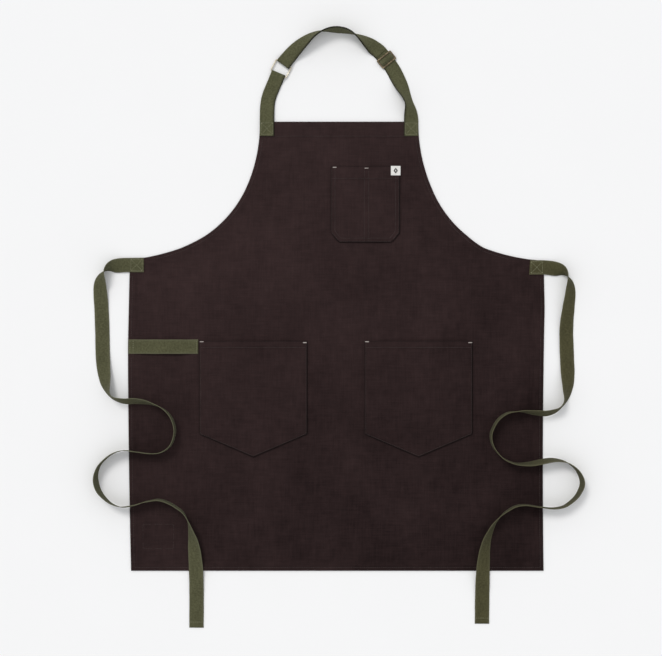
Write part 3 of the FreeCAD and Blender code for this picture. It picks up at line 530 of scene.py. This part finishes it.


def canvas_finish(name, dark, light, faded):
    """Dyed cotton canvas: weave, slubs both ways, cloudy dye, pale rubs, painted shade that
    darkens it towards the hem and the right, and painted shadow lines along the pocket edges.
    """
    f = Finish(name, roughness=0.92, specular_ior_level=0.12, sheen_weight=0.04,
               sheen_roughness=0.45)
    lay = f.attribute("lay")
    split = f.node("SeparateXYZ", {0: lay})
    weave = f.maths("MULTIPLY", *(f.wave(split.outputs[k], 0.0017) for k in (0, 1)))
    weft = f.streaks(lay, (26, 420, 1), 4.0)
    warp = f.streaks(lay, (420, 26, 1), 4.0)
    slubs = f.maths("MULTIPLY", f.maths("ADD", weft, warp), 0.5)
    clouds = f.streaks(lay, (9, 7, 1), 5.0, 0.6)
    blotches = f.streaks(lay, (55, 60, 1), 4.0, 0.6)
    tone = f.maths("ADD", f.ramp(slubs, 0.36, 0.64, 0.0, 0.38),
                   f.ramp(clouds, 0.3, 0.7, 0.0, 0.38))
    tone = f.maths("ADD", tone, f.ramp(blotches, 0.3, 0.7, 0.0, 0.22))
    # painted shade: darker towards the hem and the right, away from the light, lighter at the top
    # left
    painted_falloff = f.maths("ADD", f.ramp(split.outputs[1], *SHADE_HEIGHTS, -0.18, 0.24),
                     f.ramp(split.outputs[0], *SHADE_WIDTHS, 0.14, -0.15))
    colour = f.mix(f.maths("ADD", tone, painted_falloff), dark, light)
    colour = f.mix(f.ramp(weave, -1, 1, 0.0, 0.22), colour, tuple(c * 0.5 for c in dark))
    rubbed = f.maths("MULTIPLY", f.attribute("wear_and_shade", "Fac"),
                     f.ramp(blotches, 0.35, 0.6, 0.25, 0.9))
    colour = f.mix(rubbed, colour, faded)
    # painted shadow: below 0 the colour goes to a fifth of the dark dye, for the shadow lines
    # along the pocket edges
    painted_shade = f.ramp(f.attribute("wear_and_shade", "Fac"), -1, 0, 1, 0)
    f.feed("Base Color", f.mix(painted_shade, colour, tuple(c * 0.2 for c in dark)))
    f.feed("Roughness", f.ramp(slubs, 0.35, 0.65, 0.86, 0.97))
    creases = f.streaks(lay, (38, 30, 1), 5.0, 0.62)
    rough = f.bump(slubs, 0.0005, 0.5, f.bump(creases, 0.0045, 0.55))
    f.feed("Normal", f.bump(weave, 0.00012, 0.6, rough))
    return f.material


def webbing_finish(name, dark, light, edge):
    """Cotton herringbone tape: chevrons across the width, and edges of another colour: paler
    selvedges, and on the neck straps a near-black line of painted shade.
    """
    f = Finish(name, roughness=0.85, specular_ior_level=0.12, sheen_weight=0.04,
               sheen_roughness=0.4)
    lay = f.attribute("lay")
    split = f.node("SeparateXYZ", {0: lay})
    chevron = f.maths("PINGPONG", f.maths("ADD", split.outputs[1], 1.0), 0.0042)
    wave = f.wave(f.maths("ADD", split.outputs[0], chevron), 0.0017)
    fibre = f.streaks(lay, (900, 300, 1), 4.0)
    grain = f.streaks(lay, (330, 260, 1), 2.0, 0.7)
    patches = f.streaks(lay, (28, 55, 1), 4.0)
    tone = f.maths("ADD", f.ramp(wave, -1, 1, 0.0, 0.30), f.ramp(patches, 0.3, 0.7, 0.0, 0.25))
    tone = f.maths("ADD", tone, f.ramp(grain, 0.35, 0.65, 0.0, 0.45))
    colour = f.mix(tone, dark, light)
    # edges take the edge colour: paler selvedges, and painted shade on the neck straps
    rim = f.maths("MULTIPLY", f.attribute("wear_and_shade", "Fac"), f.ramp(fibre, 0.3, 0.6, 0.6, 0.95))
    f.feed("Base Color", f.mix(rim, colour, edge))
    f.feed("Roughness", f.ramp(patches, 0.3, 0.7, 0.78, 0.92))
    f.feed("Normal", f.bump(wave, 0.00025, 0.7,
                            f.bump(fibre, 0.0003, 0.4, f.bump(grain, 0.0006, 0.5))))
    return f.material


def thread_finish(name, dark, light):
    """Twisted cotton thread."""
    f = Finish(name, roughness=0.7, specular_ior_level=0.3, sheen_weight=0.1)
    place = f.node("TexCoord").outputs["Object"]
    ply = f.streaks(place, (2600, 1900, 2200), 2.0)
    shade = f.streaks(place, (160, 160, 160), 3.0)
    f.feed("Base Color", f.mix(f.ramp(shade, 0.3, 0.7), dark, light))
    f.feed("Roughness", f.ramp(ply, 0.3, 0.7, 0.6, 0.85))
    f.feed("Normal", f.bump(ply, 0.0001, 0.6))
    return f.material


def tape_finish(name, dark, light):
    """Smooth woven label tape."""
    f = Finish(name, roughness=0.6, specular_ior_level=0.3, sheen_weight=0.1)
    lay = f.attribute("lay")
    split = f.node("SeparateXYZ", {0: lay})
    rib = f.wave(split.outputs[1], 0.0005)
    soil = f.noise(lay, 240.0, 4.0)
    f.feed("Base Color", f.mix(f.ramp(soil, 0.3, 0.7), dark, light))
    f.feed("Roughness", f.ramp(soil, 0.3, 0.7, 0.5, 0.7))
    f.feed("Normal", f.bump(rib, 0.00006, 0.6))
    return f.material


def metal_finish(name, tarnish, bright, rough_low, rough_high):
    """Plated wire or plate: fine scratches, and cloudy patches of duller tarnish."""
    f = Finish(name, metallic=1.0, roughness=0.35)
    place = f.node("TexCoord").outputs["Object"]
    cloud = f.noise(place, 160.0, 5.0, 0.6)
    scratch = f.streaks(place, (2400, 300, 600), 3.0)
    f.feed("Base Color", f.mix(f.ramp(cloud, 0.35, 0.65), tarnish, bright))
    f.feed("Roughness", f.ramp(cloud, 0.3, 0.7, rough_high, rough_low))
    f.feed("Normal", f.bump(scratch, 0.00008, 0.5))
    return f.material


def floor_finish():
    f = Finish("floor_paint", roughness=0.8, specular_ior_level=0.1)
    place = f.node("TexCoord").outputs["Object"]
    faint = f.noise(place, 6.0, 3.0)
    f.feed("Base Color", f.mix(faint, (0.915, 0.915, 0.915), (0.93, 0.93, 0.93)))
    return f.material


CANVAS = canvas_finish("espresso_canvas", (0.0105, 0.0048, 0.0048), (0.0425, 0.0240, 0.0236),
                       (0.048, 0.031, 0.029))
OLIVE = webbing_finish("olive_herringbone", (0.046, 0.045, 0.021), (0.128, 0.127, 0.068),
                       (0.125, 0.124, 0.074))
# painted shade: a darker copy of the olive webbing, used for the right tie
OLIVE_SHADED = webbing_finish("olive_painted_shade", (0.038, 0.035, 0.015), (0.104, 0.097, 0.047),
                            (0.110, 0.104, 0.058))
# painted shade: a near-black line along the neck straps' raised edge, for the shadowed edge of the
# doubled strap and the gap between its layers
OLIVE_SHADE_EDGE = webbing_finish("olive_painted_shade_edge", (0.050, 0.050, 0.023), (0.138, 0.138, 0.073),
                            (0.012, 0.011, 0.008))
DARK_THREAD = thread_finish("brown_thread", (0.022, 0.014, 0.013), (0.056, 0.038, 0.035))
OLIVE_THREAD = thread_finish("olive_thread", (0.16, 0.16, 0.09), (0.30, 0.30, 0.19))
PALE_THREAD = thread_finish("tack_thread", (0.27, 0.23, 0.21), (0.48, 0.43, 0.40))
LABEL = tape_finish("label_weave", (0.73, 0.71, 0.68), (0.84, 0.83, 0.80))
MARK = thread_finish("mark_thread", (0.008, 0.008, 0.008), (0.02, 0.02, 0.02))
RING_METAL = metal_finish("pale_gold", (0.46, 0.41, 0.32), (0.74, 0.69, 0.57), 0.28, 0.46)
SLIDER_METAL = metal_finish("antique_brass", (0.07, 0.053, 0.034), (0.26, 0.205, 0.13),
                            0.30, 0.5)


def finish_piece(obj, nodes=(), body=None, across=None):
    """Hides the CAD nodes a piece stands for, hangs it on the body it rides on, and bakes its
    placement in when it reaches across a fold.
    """
    if nodes:
        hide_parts(*nodes)
    if body:
        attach(obj, body)
    if across:
        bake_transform(obj)
    return obj


def sew(name, rows, thread, nodes, body=None, radius=THREAD, across=None):
    """One piece made of stitches, in its thread's material slot."""
    return finish_piece(stitch_mesh(name, rows, thread, radius),
                        nodes, body, across)


# ---- the panel
PANEL_RIM = [0, 0.15, 0.6, 2.5, 6.0, 9.0, 11.2, 12.8]
PANEL_COLUMNS = 100
FOLD = ("skirt", "bib", (0, 86.5, 0), (0, 100.5, 0))


def panel_rows():
    """Row heights of the panel's mesh in mm, close at the hems, the shoulders and the fold."""
    low, high = HEM_Y, BIB_TOP
    corner, shoulder = LEFT_SIDE["corner"][1], LEFT_SIDE["shoulder"][1]
    facing = high - FACING
    return np.unique(np.concatenate([
        low + np.array(PANEL_RIM), np.arange(low + 18, 60, 6.5), np.arange(60, corner, 2.0),
        [corner, corner + 0.2, corner + 0.4, shoulder], np.arange(shoulder + 1, 110, 1.1),
        np.arange(110, 135, 3), np.arange(135, facing - 3, 6),
        facing + np.array([-2, -0.8, 0, 0.8, 2]), np.arange(facing + 6, high - 8, 6),
        high - np.array(PANEL_RIM[:5])]))


def make_panel():
    rows = panel_rows()
    left = np.interp(rows, LEFT_LINE[:, 1], LEFT_LINE[:, 0])
    right = np.interp(rows, RIGHT_LINE[:, 1], RIGHT_LINE[:, 0])
    x = []
    for low, high in zip(left, right):
        inner = np.linspace(low + PANEL_RIM[-1], high - PANEL_RIM[-1], PANEL_COLUMNS)
        x.append(np.concatenate([low + np.array(PANEL_RIM[:-1]), inner,
                                 high - np.array(PANEL_RIM[:-1])[::-1]]))
    x = np.array(x)
    y = np.repeat(rows[:, None], x.shape[1], 1)
    distance = line_distance(x, y, OUTLINE)
    lift = cloth_lift(x, y, distance)
    thick = canvas_thickness(distance, y)
    half = thick / 2 * edge_factor(distance)
    rubs_and_shade = 0.55 * np.exp(-distance / 1.2) + 0.15 * np.exp(-np.abs(distance - HEM_WIDTH) / 0.8)
    panel = flat_patch("canvas_panel", x, y, lift + thick / 2 + half, lift + thick / 2 - half,
                       rubs_and_shade, CANVAS)
    return finish_piece(panel, ("skirt_panel", "bib_panel"), across=FOLD)


LOOP_COVERS = (-100, -62)   # heights between which the towel loop hides the left hem's seam
LOOP_HEM_X = -363.4
TIE_COVERS = (46, 80)       # the same where the ties are sewn on
SEAM_TOP = {1: (-361.0, 44.0), -1: (358.6, 40.0)}
STRAP_COVERS = 288          # the neck straps hide the seams from here up


def hem_rows():
    """Stitch rows in the middle of the panel's hem and along the bib's folded band."""
    inset = HEM_WIDTH / 2
    low = HEM_Y + inset
    rows = []
    for line, sign in ((LEFT_LINE, 1), (RIGHT_LINE, -1)):
        tangent = unit_rows(np.gradient(line, axis=0))
        inner = line + sign * inset * np.stack([tangent[:, 1], -tangent[:, 0]], 1)
        below = inner[(line[:, 1] < TIE_COVERS[0]) & (inner[:, 1] > low)]
        above = inner[(line[:, 1] > TIE_COVERS[1]) & (line[:, 1] < STRAP_COVERS)]
        if sign > 0:
            rows.append(row_on([(below[0][0], low), *below[below[:, 1] < LOOP_COVERS[0]],
                                (LOOP_HEM_X, LOOP_COVERS[0])], canvas_top))
            rows.append(row_on([(LOOP_HEM_X, LOOP_COVERS[1]), SEAM_TOP[sign]], canvas_top))
        else:
            rows.append(row_on([(below[0][0], low), *below, SEAM_TOP[sign]], canvas_top))
        rows.append(row_on(above, canvas_top))
    rows.append(row_on([(-358, low), (358, low)], canvas_top))
    facing = BIB_TOP - FACING + 1.2
    rows.append(row_on([(-134, facing), (140, facing)], canvas_top))
    return rows


# ---- patch pockets
POCKET_RIM = [0, 0.15, 0.5, 1.5, 2.5, 3.5, 6.0]


class Patch:
    """A patch pocket: its outline, how it lies on the panel, and its top surface in mm."""

    def __init__(self, node, drop, corner, mouth_hem, bulge, dividers=()):
        self.node = node
        low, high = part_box(node)
        self.left, self.right = low.x / MM, high.x / MM
        self.mouth, self.bottom = high.y / MM, low.y / MM
        self.corner = corner
        self.mouth_hem, self.bulge, self.dividers = mouth_hem, bulge, dividers
        middle = (self.left + self.right) / 2
        lowest = [middle] if corner is None else [self.left + corner, self.right - corner]
        low_line = [(self.left, self.bottom + drop), *((x, self.bottom) for x in lowest),
                    (self.right, self.bottom + drop)]
        self.seam = [(self.left, self.mouth)] + low_line + [(self.right, self.mouth)]
        self.low_line = np.array(low_line)

    def floor_of(self, x):
        return np.interp(x, self.low_line[:, 0], self.low_line[:, 1])

    def heights(self, x, y):
        """Underside and top of the pocket cloth at these places."""
        distance = line_distance(x, y, self.seam)
        inside = smooth(3.5, 30, distance)
        down = self.mouth - y
        sag = 0.75 + 0.25 * np.sin(x / 19 + y / 31) * np.cos(y / 23)
        lift = self.bulge * inside * (0.55 + 0.45 * smooth(150, 0, down)) * sag
        for place in self.dividers:
            lift = lift * (1 - 0.9 * np.exp(-((x - self.left - place) / 5.0) ** 2))
        pucker = 0.10 * np.sin((x + y) / 2.1) * np.exp(-((distance - 4.5) / 2.5) ** 2)
        thick = CLOTH * (1 + 0.75 * (1 - smooth(self.mouth_hem - 0.7, self.mouth_hem + 0.7, down)))
        thick = np.maximum(thick, CLOTH * (1 + 0.8 * (1 - smooth(8, 10, distance))))
        thick = thick - 0.4 * np.exp(-((distance - 2.5) / 0.7) ** 2)
        for place in self.dividers:
            thick = thick - 0.3 * np.exp(-((x - self.left - place) / 0.8) ** 2)
        proud = 0.9 * (1 - smooth(0, 2.2, distance)) * smooth(0, 12, down)
        under = canvas_top(x, y) + 0.03 + lift + proud
        return under, under + thick + pucker

    def top(self, x, y):
        return self.heights(np.asarray(x, float), np.asarray(y, float))[1]

    def grid(self):
        width = self.right - self.left
        columns = spread(width, POCKET_RIM, POCKET_RIM, 5.0)
        extra = [place + step for place in self.dividers for step in (-1.6, -0.8, 0, 0.8, 1.6)]
        columns = self.left + np.unique(np.concatenate([columns, extra]))
        near = [0, 0.15, 0.5, 2.0, 6.0, self.mouth_hem - 0.8, self.mouth_hem,
                self.mouth_hem + 0.8]
        x, y = [], []
        for place in columns:
            depth = self.mouth - self.floor_of(place)
            count = round((self.mouth - self.bottom) / 5.0)
            inner = np.linspace(near[-1], depth - POCKET_RIM[-1], count)
            down = np.concatenate([near[:-1], inner, depth - np.array(POCKET_RIM[:-1])[::-1]])
            x.append(np.full(len(down), place))
            y.append(self.mouth - down)
        return np.array(x), np.array(y)

    def build(self, body):
        x, y = self.grid()
        under, top = self.heights(x, y)
        seam = line_distance(x, y, self.seam)
        rim = np.minimum(seam, self.mouth - y)
        middle, half = (under + top) / 2, (top - under) / 2 * edge_factor(rim, 0.5)
        # painted shadow: a dark line along the sewn edges, full on the right and bottom away from
        # the light, weaker on the lit left, and half as dark under the mouth
        lit_side = 0.4 + 0.6 * smooth(self.left + 2, self.left + 8, x)
        mouth = 0.5 * np.exp(-((self.mouth - y) / 0.9) ** 2)
        rubs_and_shade = -np.maximum(lit_side * np.exp(-(seam / 1.5) ** 2), mouth)
        patch = flat_patch(self.node + "_cloth", x, y, middle + half, middle - half, rubs_and_shade,
                           CANVAS)
        finish_piece(patch, (self.node,), body)

    def sew(self, rows, tacks, body):
        """The pocket's own rows, one more under its mouth's hem, and its tacks."""
        level = self.mouth - self.mouth_hem + 0.8
        rows.append(row_on([(self.left + 2.5, level), (self.right - 2.5, level)], self.top))
        sew(self.node + "_stitches", rows, DARK_THREAD, (self.node + "_stitching",), body)
        sew(self.node + "_tacks", tacks, PALE_THREAD, (self.node + "_bartacks",), body,
            TACK_THREAD)

    def inset_line(self, inset, start):
        """The seam drawn in by a distance, from one side of the mouth to the other."""
        points = np.array(self.seam, float)
        middle = (self.left + self.right) / 2
        slope = (points[2] - points[1]) / np.linalg.norm(points[2] - points[1])
        fall = inset * (1 - abs(slope[0])) / max(abs(slope[1]), 1e-6)
        inner = []
        for k, (px, py) in enumerate(points):
            if k in (0, len(points) - 1):
                py = self.mouth - start
            elif abs(px - middle) > 1 and k in (1, len(points) - 2):
                py = py + fall
            else:
                py = py + inset * (1.0 if self.corner else 1.09)
            if abs(px - middle) > 1:
                shift = inset if k in (0, 1, len(points) - 2, len(points) - 1) else fall
                px = px + math.copysign(shift, middle - px)
            inner.append((px, py))
        return inner


def make_lower_pocket(side):
    pocket = Patch(side + "_pocket", drop=41.0, corner=None, mouth_hem=HEM_WIDTH, bulge=2.2)
    pocket.build("skirt")
    tacks = [bartack(pocket.left + 4.6, pocket.mouth - 1.2, pocket.top),
             bartack(pocket.right - 4.6, pocket.mouth - 2.8, pocket.top)]
    pocket.sew([row_on(pocket.inset_line(2.5, 4.0), pocket.top)], tacks, "skirt")


def make_chest_pocket():
    dividers = (59.4, 66.8)
    pocket = Patch("chest_pocket", drop=17.0, corner=13.5, mouth_hem=22.0, bulge=1.5,
                   dividers=dividers)
    pocket.build("bib")
    rows = [row_on(pocket.inset_line(inset, 4.0), pocket.top) for inset in (2.0, 7.5)]
    for place in dividers:
        rows.append(row_on([(pocket.left + place, pocket.mouth - 4.0),
                            (pocket.left + place, pocket.bottom + 2.0)], pocket.top))
    tacks = [bartack(pocket.left + 7.0, pocket.mouth - 1.8, pocket.top),
             bartack(pocket.left + sum(dividers) / 2, pocket.mouth - 3.2, pocket.top)]
    pocket.sew(rows, tacks, "bib")
    return pocket


# ---- labels
LABEL_TURNED = 0.7          # the tape's edges are turned in by this much
LABEL_HALF = 0.28           # half the label's thickness
MARK_REACH = (3.3, 4.5)     # from the mark's middle to its corners
MARK_PITCH = 0.85
MARK_THREAD = 0.55
CARE_HALF = 0.15            # half the care label's thickness
CARE_THREAD = 0.3


def node_grid(node, rim, step, trim=0.0):
    """Grid of x and y in mm over a CAD node's box drawn in by the trim, close at its edges."""
    low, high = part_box(node)
    across = low.x / MM + trim + spread((high.x - low.x) / MM - 2 * trim, rim, rim, step)
    up = low.y / MM + trim + spread((high.y - low.y) / MM - 2 * trim, rim, rim, step)
    return np.meshgrid(across, up)


def grid_rim(x, y):
    """Distance from each place of a grid to the nearest of its four sides."""
    return np.minimum.reduce([x - x.min(), x.max() - x, y - y.min(), y.max() - y])


def make_label(pocket):
    x, y = node_grid("woven_label", [0, 0.1, 0.3, 0.9, 1.6], 1.2, LABEL_TURNED)
    held_x = np.minimum(x, pocket.right - 1.0)
    held_y = np.minimum(y, pocket.mouth - 1.0)
    drape = 0.9 * smooth(0, 2.2, x - pocket.right + 0.4)
    under = pocket.top(held_x, held_y) + 0.08 - drape
    rim = grid_rim(x, y)
    groove = 0.12 * np.exp(-((rim - 1.6) / 0.35) ** 2)
    half = LABEL_HALF * edge_factor(rim, 0.3)
    label = flat_patch("label_tape", x, y, under + LABEL_HALF + half - groove,
                       under + LABEL_HALF - half, 0.0, LABEL)
    finish_piece(label, ("woven_label",), "bib")
    low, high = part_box("woven_label_mark")
    middle_x, middle_y = (low.x + high.x) / 2 / MM, (low.y + high.y) / 2 / MM
    level = float(pocket.top(middle_x, middle_y)) + 0.66
    rows = []
    for share in (1.0, 0.78, 0.56):
        across, up = (reach * share for reach in MARK_REACH)
        corners = [(middle_x, middle_y + up), (middle_x - across, middle_y),
                   (middle_x, middle_y - up), (middle_x + across, middle_y)]
        rows += [row_on(side, level, MARK_PITCH) for side in sides(corners)]
    sew("label_mark", rows, MARK, ("woven_label_mark",), "bib", MARK_THREAD)


def make_care_label():
    """Tape on the underside; only its seam shows on the front."""
    low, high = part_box("care_label")
    x, y = node_grid("care_label", [0, 0.1, 0.3], 4.0)
    half = CARE_HALF * edge_factor(grid_rim(x, y), 0.3)
    tape = flat_patch("care_tape", x, y, CARE_HALF + half, CARE_HALF - half, 0.0, LABEL)
    finish_piece(tape, ("care_label",), "skirt")
    left, right = low.x / MM + 2, high.x / MM - 2
    bottom, top = low.y / MM + 2, high.y / MM - 2
    corners = [(left, bottom), (right, bottom), (right, top), (left, top)]
    rows = []
    for start, end in sides([np.array(corner) for corner in corners]):
        for near, far in ((0.0, 0.3), (0.37, 0.62), (0.74, 1.0)):
            rows.append(row_on([start + (end - start) * near, start + (end - start) * far],
                               canvas_top))
    sew("care_label_stitches", rows, DARK_THREAD, ("care_label_stitching",), "skirt",
        CARE_THREAD)


# ---- webbing
LOOP_RISE = 4.6             # how far the towel loop stands off the panel
LOOP_SEAM = 0.72            # its seams lie this far above the webbing's middle


def make_towel_loop():
    low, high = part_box("towel_loop")
    left, right = low.x / MM, high.x / MM
    y = (low.y + high.y) / 2 / MM
    x = np.linspace(left, right, 60)
    share = (x - left) / (right - left)
    off_hem = smooth(0.08, 0.2, share)
    ground = (HEM_TOP + 0.05) * (1 - off_hem) + (CLOTH + 0.2) * off_hem
    rise = LOOP_RISE * smooth(0.10, 0.3, share) * (1 - smooth(0.72, 0.93, share))
    z = ground + rise + WEB_THICK / 2 + 0.5 * smooth(0.5, 1, share)
    centre = np.stack([x, y + 0 * x, z], 1)
    wide = np.tile([0.0, 1.0, 0.0], (len(x), 1))
    loop = ribbon("towel_loop_web", centre, wide, OLIVE)
    finish_piece(loop, ("towel_loop",), "skirt")
    half = WEB_WIDTH / 2 - 1.5
    rows = []
    for place, height in ((left + 3.0, z[0]), (left + 9.0, z[0]), (right - 3.0, z[-1])):
        rows.append(row_on([(place, y - half), (place, y + half)], height + LOOP_SEAM))
    sew("towel_loop_stitches", rows, OLIVE_THREAD, ("towel_loop_stitching",), "skirt")


TIE_FOLDS = {"left": ((-376, 63, 0), (-421, 18, 0)), "right": ((374, 58, 0), (413, 8, 0))}


def make_tie(side, route, sign):
    """One waist tie, from its sewn end on the corner to its hemmed tail."""
    centre, wide, _ = route_frames(route, sign)
    inward = -1 if route[0][0] > 0 else 1
    start = np.array([route[0][0], route[0][1], SEWN_ON])
    sewn = [start + np.array([inward * reach, 0, 0]) for reach in (WEB_WIDTH, 20, 13, 6, 1.5)]
    centre = np.concatenate([sewn, centre[1:]])
    wide = np.concatenate([[wide[0]] * len(sewn), wide[1:]])
    # the right tie gets painted shade: the darker copy of the olive webbing
    tie = ribbon(side + "_tie_web", centre, wide, OLIVE if side == "left" else OLIVE_SHADED)
    start_fold, end_fold = TIE_FOLDS[side]
    finish_piece(tie, (side + "_tie_end", side + "_waist_tie"),
                 across=("skirt", side + "_tie", start_fold, end_fold))
    tail = centre[-1]
    top = tail[2] + WEB_THICK / 2 + 0.1
    half = WEB_WIDTH / 2 - 1.2
    rows = [row_on([(tail[0] - half, tail[1] + 10), (tail[0] + half, tail[1] + 10)], top)]
    sew(side + "_tie_tail_stitches", rows, OLIVE_THREAD, (), side + "_tie")
    return crossed_box(route[0][0] + inward * WEB_WIDTH / 2, route[0][1],
                       HEM_TOP + WEB_THICK + 0.15)


def turn_round(bar, aim, across, radius, low):
    """Middle of the webbing going over a bar, round its nose and back underneath."""
    angles = np.radians(np.linspace(90, -90, 15))
    middle = np.array([bar[0], bar[1], low + radius])
    turn = [middle + aim * radius * math.cos(a) + UP * radius * math.sin(a) for a in angles]
    return np.array(turn), np.tile(across, (len(turn), 1))


def levelled(vector):
    """The horizontal direction of a vector."""
    return vector * np.array([1, 1, 0]) / np.linalg.norm(vector[:2])


def layers(route, turn_radius, from_start, reach=16.0):
    """Lower and upper layer of doubled webbing that opens towards a bar at one end."""
    centre, wide, face = route_frames(route)
    face = face * np.sign(face[:, 2:3] + 0.2)
    level = face * np.array([1, 1, 0])
    lower = centre - level * WEB_THICK / 2
    upper = lower + face * (WEB_THICK + LAYER_GAP)
    end = centre[0] if from_start else centre[-1]
    away = np.hypot(centre[:, 0] - end[0], centre[:, 1] - end[1])
    opening = 2 * turn_radius - WEB_THICK - LAYER_GAP
    upper[:, 2] += opening * smooth(reach, 0, away)
    return lower, upper, wide


NECK_FOLD = ("bib", "neck_loop", (0, 313.5, 0), (0, 324.0, 0))


def sewn_rows(x, height):
    """Webbing lying sewn on the bib, from its cut end up to the bib's edge."""
    y = BIB_TOP - np.array([WEB_WIDTH, 18, 9, 1.5])
    return np.stack([x + 0 * y, y, height + 0 * y], 1)


def make_anchor_strap():
    lower, upper, wide = layers(ANCHOR_ROUTE, ANCHOR_TURN, from_start=False)
    aim = levelled(upper[-1] - upper[-6])
    turn, turn_wide = turn_round(ANCHOR_ROUTE[-1], aim, wide[-1], ANCHOR_TURN, WEB_THICK / 2)
    x = ANCHOR_ROUTE[0][0]
    up = sewn_rows(x, SEWN_ON + WEB_THICK + LAYER_GAP)
    down = sewn_rows(x, SEWN_ON)[::-1]
    centre = np.concatenate([up, upper[2:-1], turn, lower[2:-1][::-1], down])
    across = np.concatenate([[wide[0]] * len(up), wide[2:-1], turn_wide, wide[2:-1][::-1],
                             [wide[0]] * len(down)])
    strap = ribbon("anchor_strap_web", centre, across, OLIVE_SHADE_EDGE, wave=0.0, one_edge=True)
    finish_piece(strap, ("anchor_strap", "left_neck_strap_end"), across=NECK_FOLD)
    return crossed_box(x, BIB_TOP - WEB_WIDTH / 2, SEWN_ON + WEB_THICK * 1.5 + 0.2)


def make_long_strap():
    lower, upper, wide = layers(LONG_ROUTE, UPPER_TURN, from_start=True)
    middle = np.array(SLIDER_MIDDLE)
    ahead = (lower[:, :2] - middle) @ np.array(SLIDER_AIM)
    near = np.hypot(lower[:, 0] - middle[0], lower[:, 1] - middle[1]) < 60
    doubled = int(np.argmax(near & (ahead > DOUBLED_UNTIL)))
    aim = levelled(upper[0] - upper[5])
    turn, turn_wide = turn_round(LONG_ROUTE[0], aim, wide[0], UPPER_TURN, WEB_THICK / 2)
    back = np.arange(doubled, 0, -1)
    x = LONG_ROUTE[-1][0]
    down = sewn_rows(x, SEWN_ON)[::-1]
    centre = np.concatenate([upper[back], turn, lower[1:-2], down])
    across = np.concatenate([wide[back], turn_wide, wide[1:-2], [wide[-1]] * len(down)])
    strap = ribbon("neck_strap_web", centre, across, OLIVE_SHADE_EDGE, wave=0.0, one_edge=True)
    finish_piece(strap, ("neck_strap", "right_neck_strap_end"), across=NECK_FOLD)
    return crossed_box(x, BIB_TOP - WEB_WIDTH / 2, SEWN_ON + WEB_THICK / 2 + 0.15)


# the strap over the slider's middle bar, from the middle on: distance along, height
BAND_HALF = [(0.8, 4.5), (2.1, 4.15), (3.3, 3.2), (4.9, 2.1), (6.2, 1.85)]


def make_slider_band():
    """The strap where it rises through the slider's windows and over its middle bar."""
    profile = [(-along, height) for along, height in BAND_HALF[::-1]] + BAND_HALF
    aim = np.array([*SLIDER_AIM, 0])
    middle = np.array([*SLIDER_MIDDLE, 0])
    centre = np.array([middle + aim * along + UP * height for along, height in profile])
    wide = np.tile(np.cross(UP, aim), (len(centre), 1))
    band = ribbon("slider_band_web", centre, wide, OLIVE, width=25.0, thick=1.1, step=0.8,
                  wave=0.0)
    finish_piece(band, ("slider_web_band",), "slider")


def finish_metal():
    for node, metal in (("square_ring", RING_METAL), ("adjuster_slider", SLIDER_METAL)):
        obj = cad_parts[node]
        for slot in obj.material_slots:
            slot.material = metal
        weld = obj.modifiers.new("weld", "WELD")
        weld.merge_threshold = 0.00001
    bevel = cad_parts["adjuster_slider"].modifiers.new("worn_edges", "BEVEL")
    bevel.width = 0.0004
    bevel.segments = 3
    bevel.limit_method = "ANGLE"
    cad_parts["adjuster_slider"].modifiers.new("even", "WEIGHTED_NORMAL")


# ---- stage
FLOOR_REACH = 4.0
FLOOR_HEIGHT = -0.0004
LIGHT_HEADING = (0.33, -0.52, -0.79)
CAMERA_PLACE = (-0.0111, -0.0476, 2.5)
LENS = 77.0                 # with the sensor's width, in mm
SENSOR = 36


def make_stage():
    corners = ((-1, -1), (1, -1), (1, 1), (-1, 1))
    verts = [(x * FLOOR_REACH, y * FLOOR_REACH, FLOOR_HEIGHT) for x, y in corners]
    floor = mesh_object("floor", verts, [(0, 1, 2, 3)], floor_finish())
    world = bpy.data.worlds.new("studio")
    world.use_nodes = True
    backdrop = world.node_tree.nodes["Background"]
    backdrop.inputs["Color"].default_value = (0.97, 0.98, 1.0, 1)
    backdrop.inputs["Strength"].default_value = 0.72
    bpy.context.scene.world = world
    sun = bpy.data.lights.new("window", "SUN")
    sun.energy = 1.2
    sun.angle = math.radians(20)
    sun.color = (1.0, 0.985, 0.96)
    lamp = link(bpy.data.objects.new("window", sun))
    lamp.rotation_euler = Vector(LIGHT_HEADING).to_track_quat("-Z", "Y").to_euler()
    lens = bpy.data.cameras.new("camera")
    lens.sensor_width = SENSOR
    lens.lens = LENS
    camera = link(bpy.data.objects.new("camera", lens))
    camera.location = CAMERA_PLACE
    bpy.context.scene.camera = camera
    bpy.context.scene.view_settings.view_transform = "Standard"


panel = make_panel()
sew("hem_stitches", hem_rows(), DARK_THREAD, ("skirt_hem_stitching", "bib_hem_stitching"),
    across=FOLD)
make_lower_pocket("left")
make_lower_pocket("right")
chest = make_chest_pocket()
make_label(chest)
make_care_label()
make_towel_loop()
left_box = make_tie("left", LEFT_TIE, 1)
right_box = make_tie("right", RIGHT_TIE, -1)
sew("tie_end_stitches", left_box + right_box, OLIVE_THREAD, ("tie_end_stitching",), "skirt")
anchor_box = make_anchor_strap()
long_box = make_long_strap()
sew("neck_strap_stitches", anchor_box + long_box, OLIVE_THREAD, ("neck_strap_stitching",),
    "bib")
make_slider_band()
finish_metal()
make_stage()
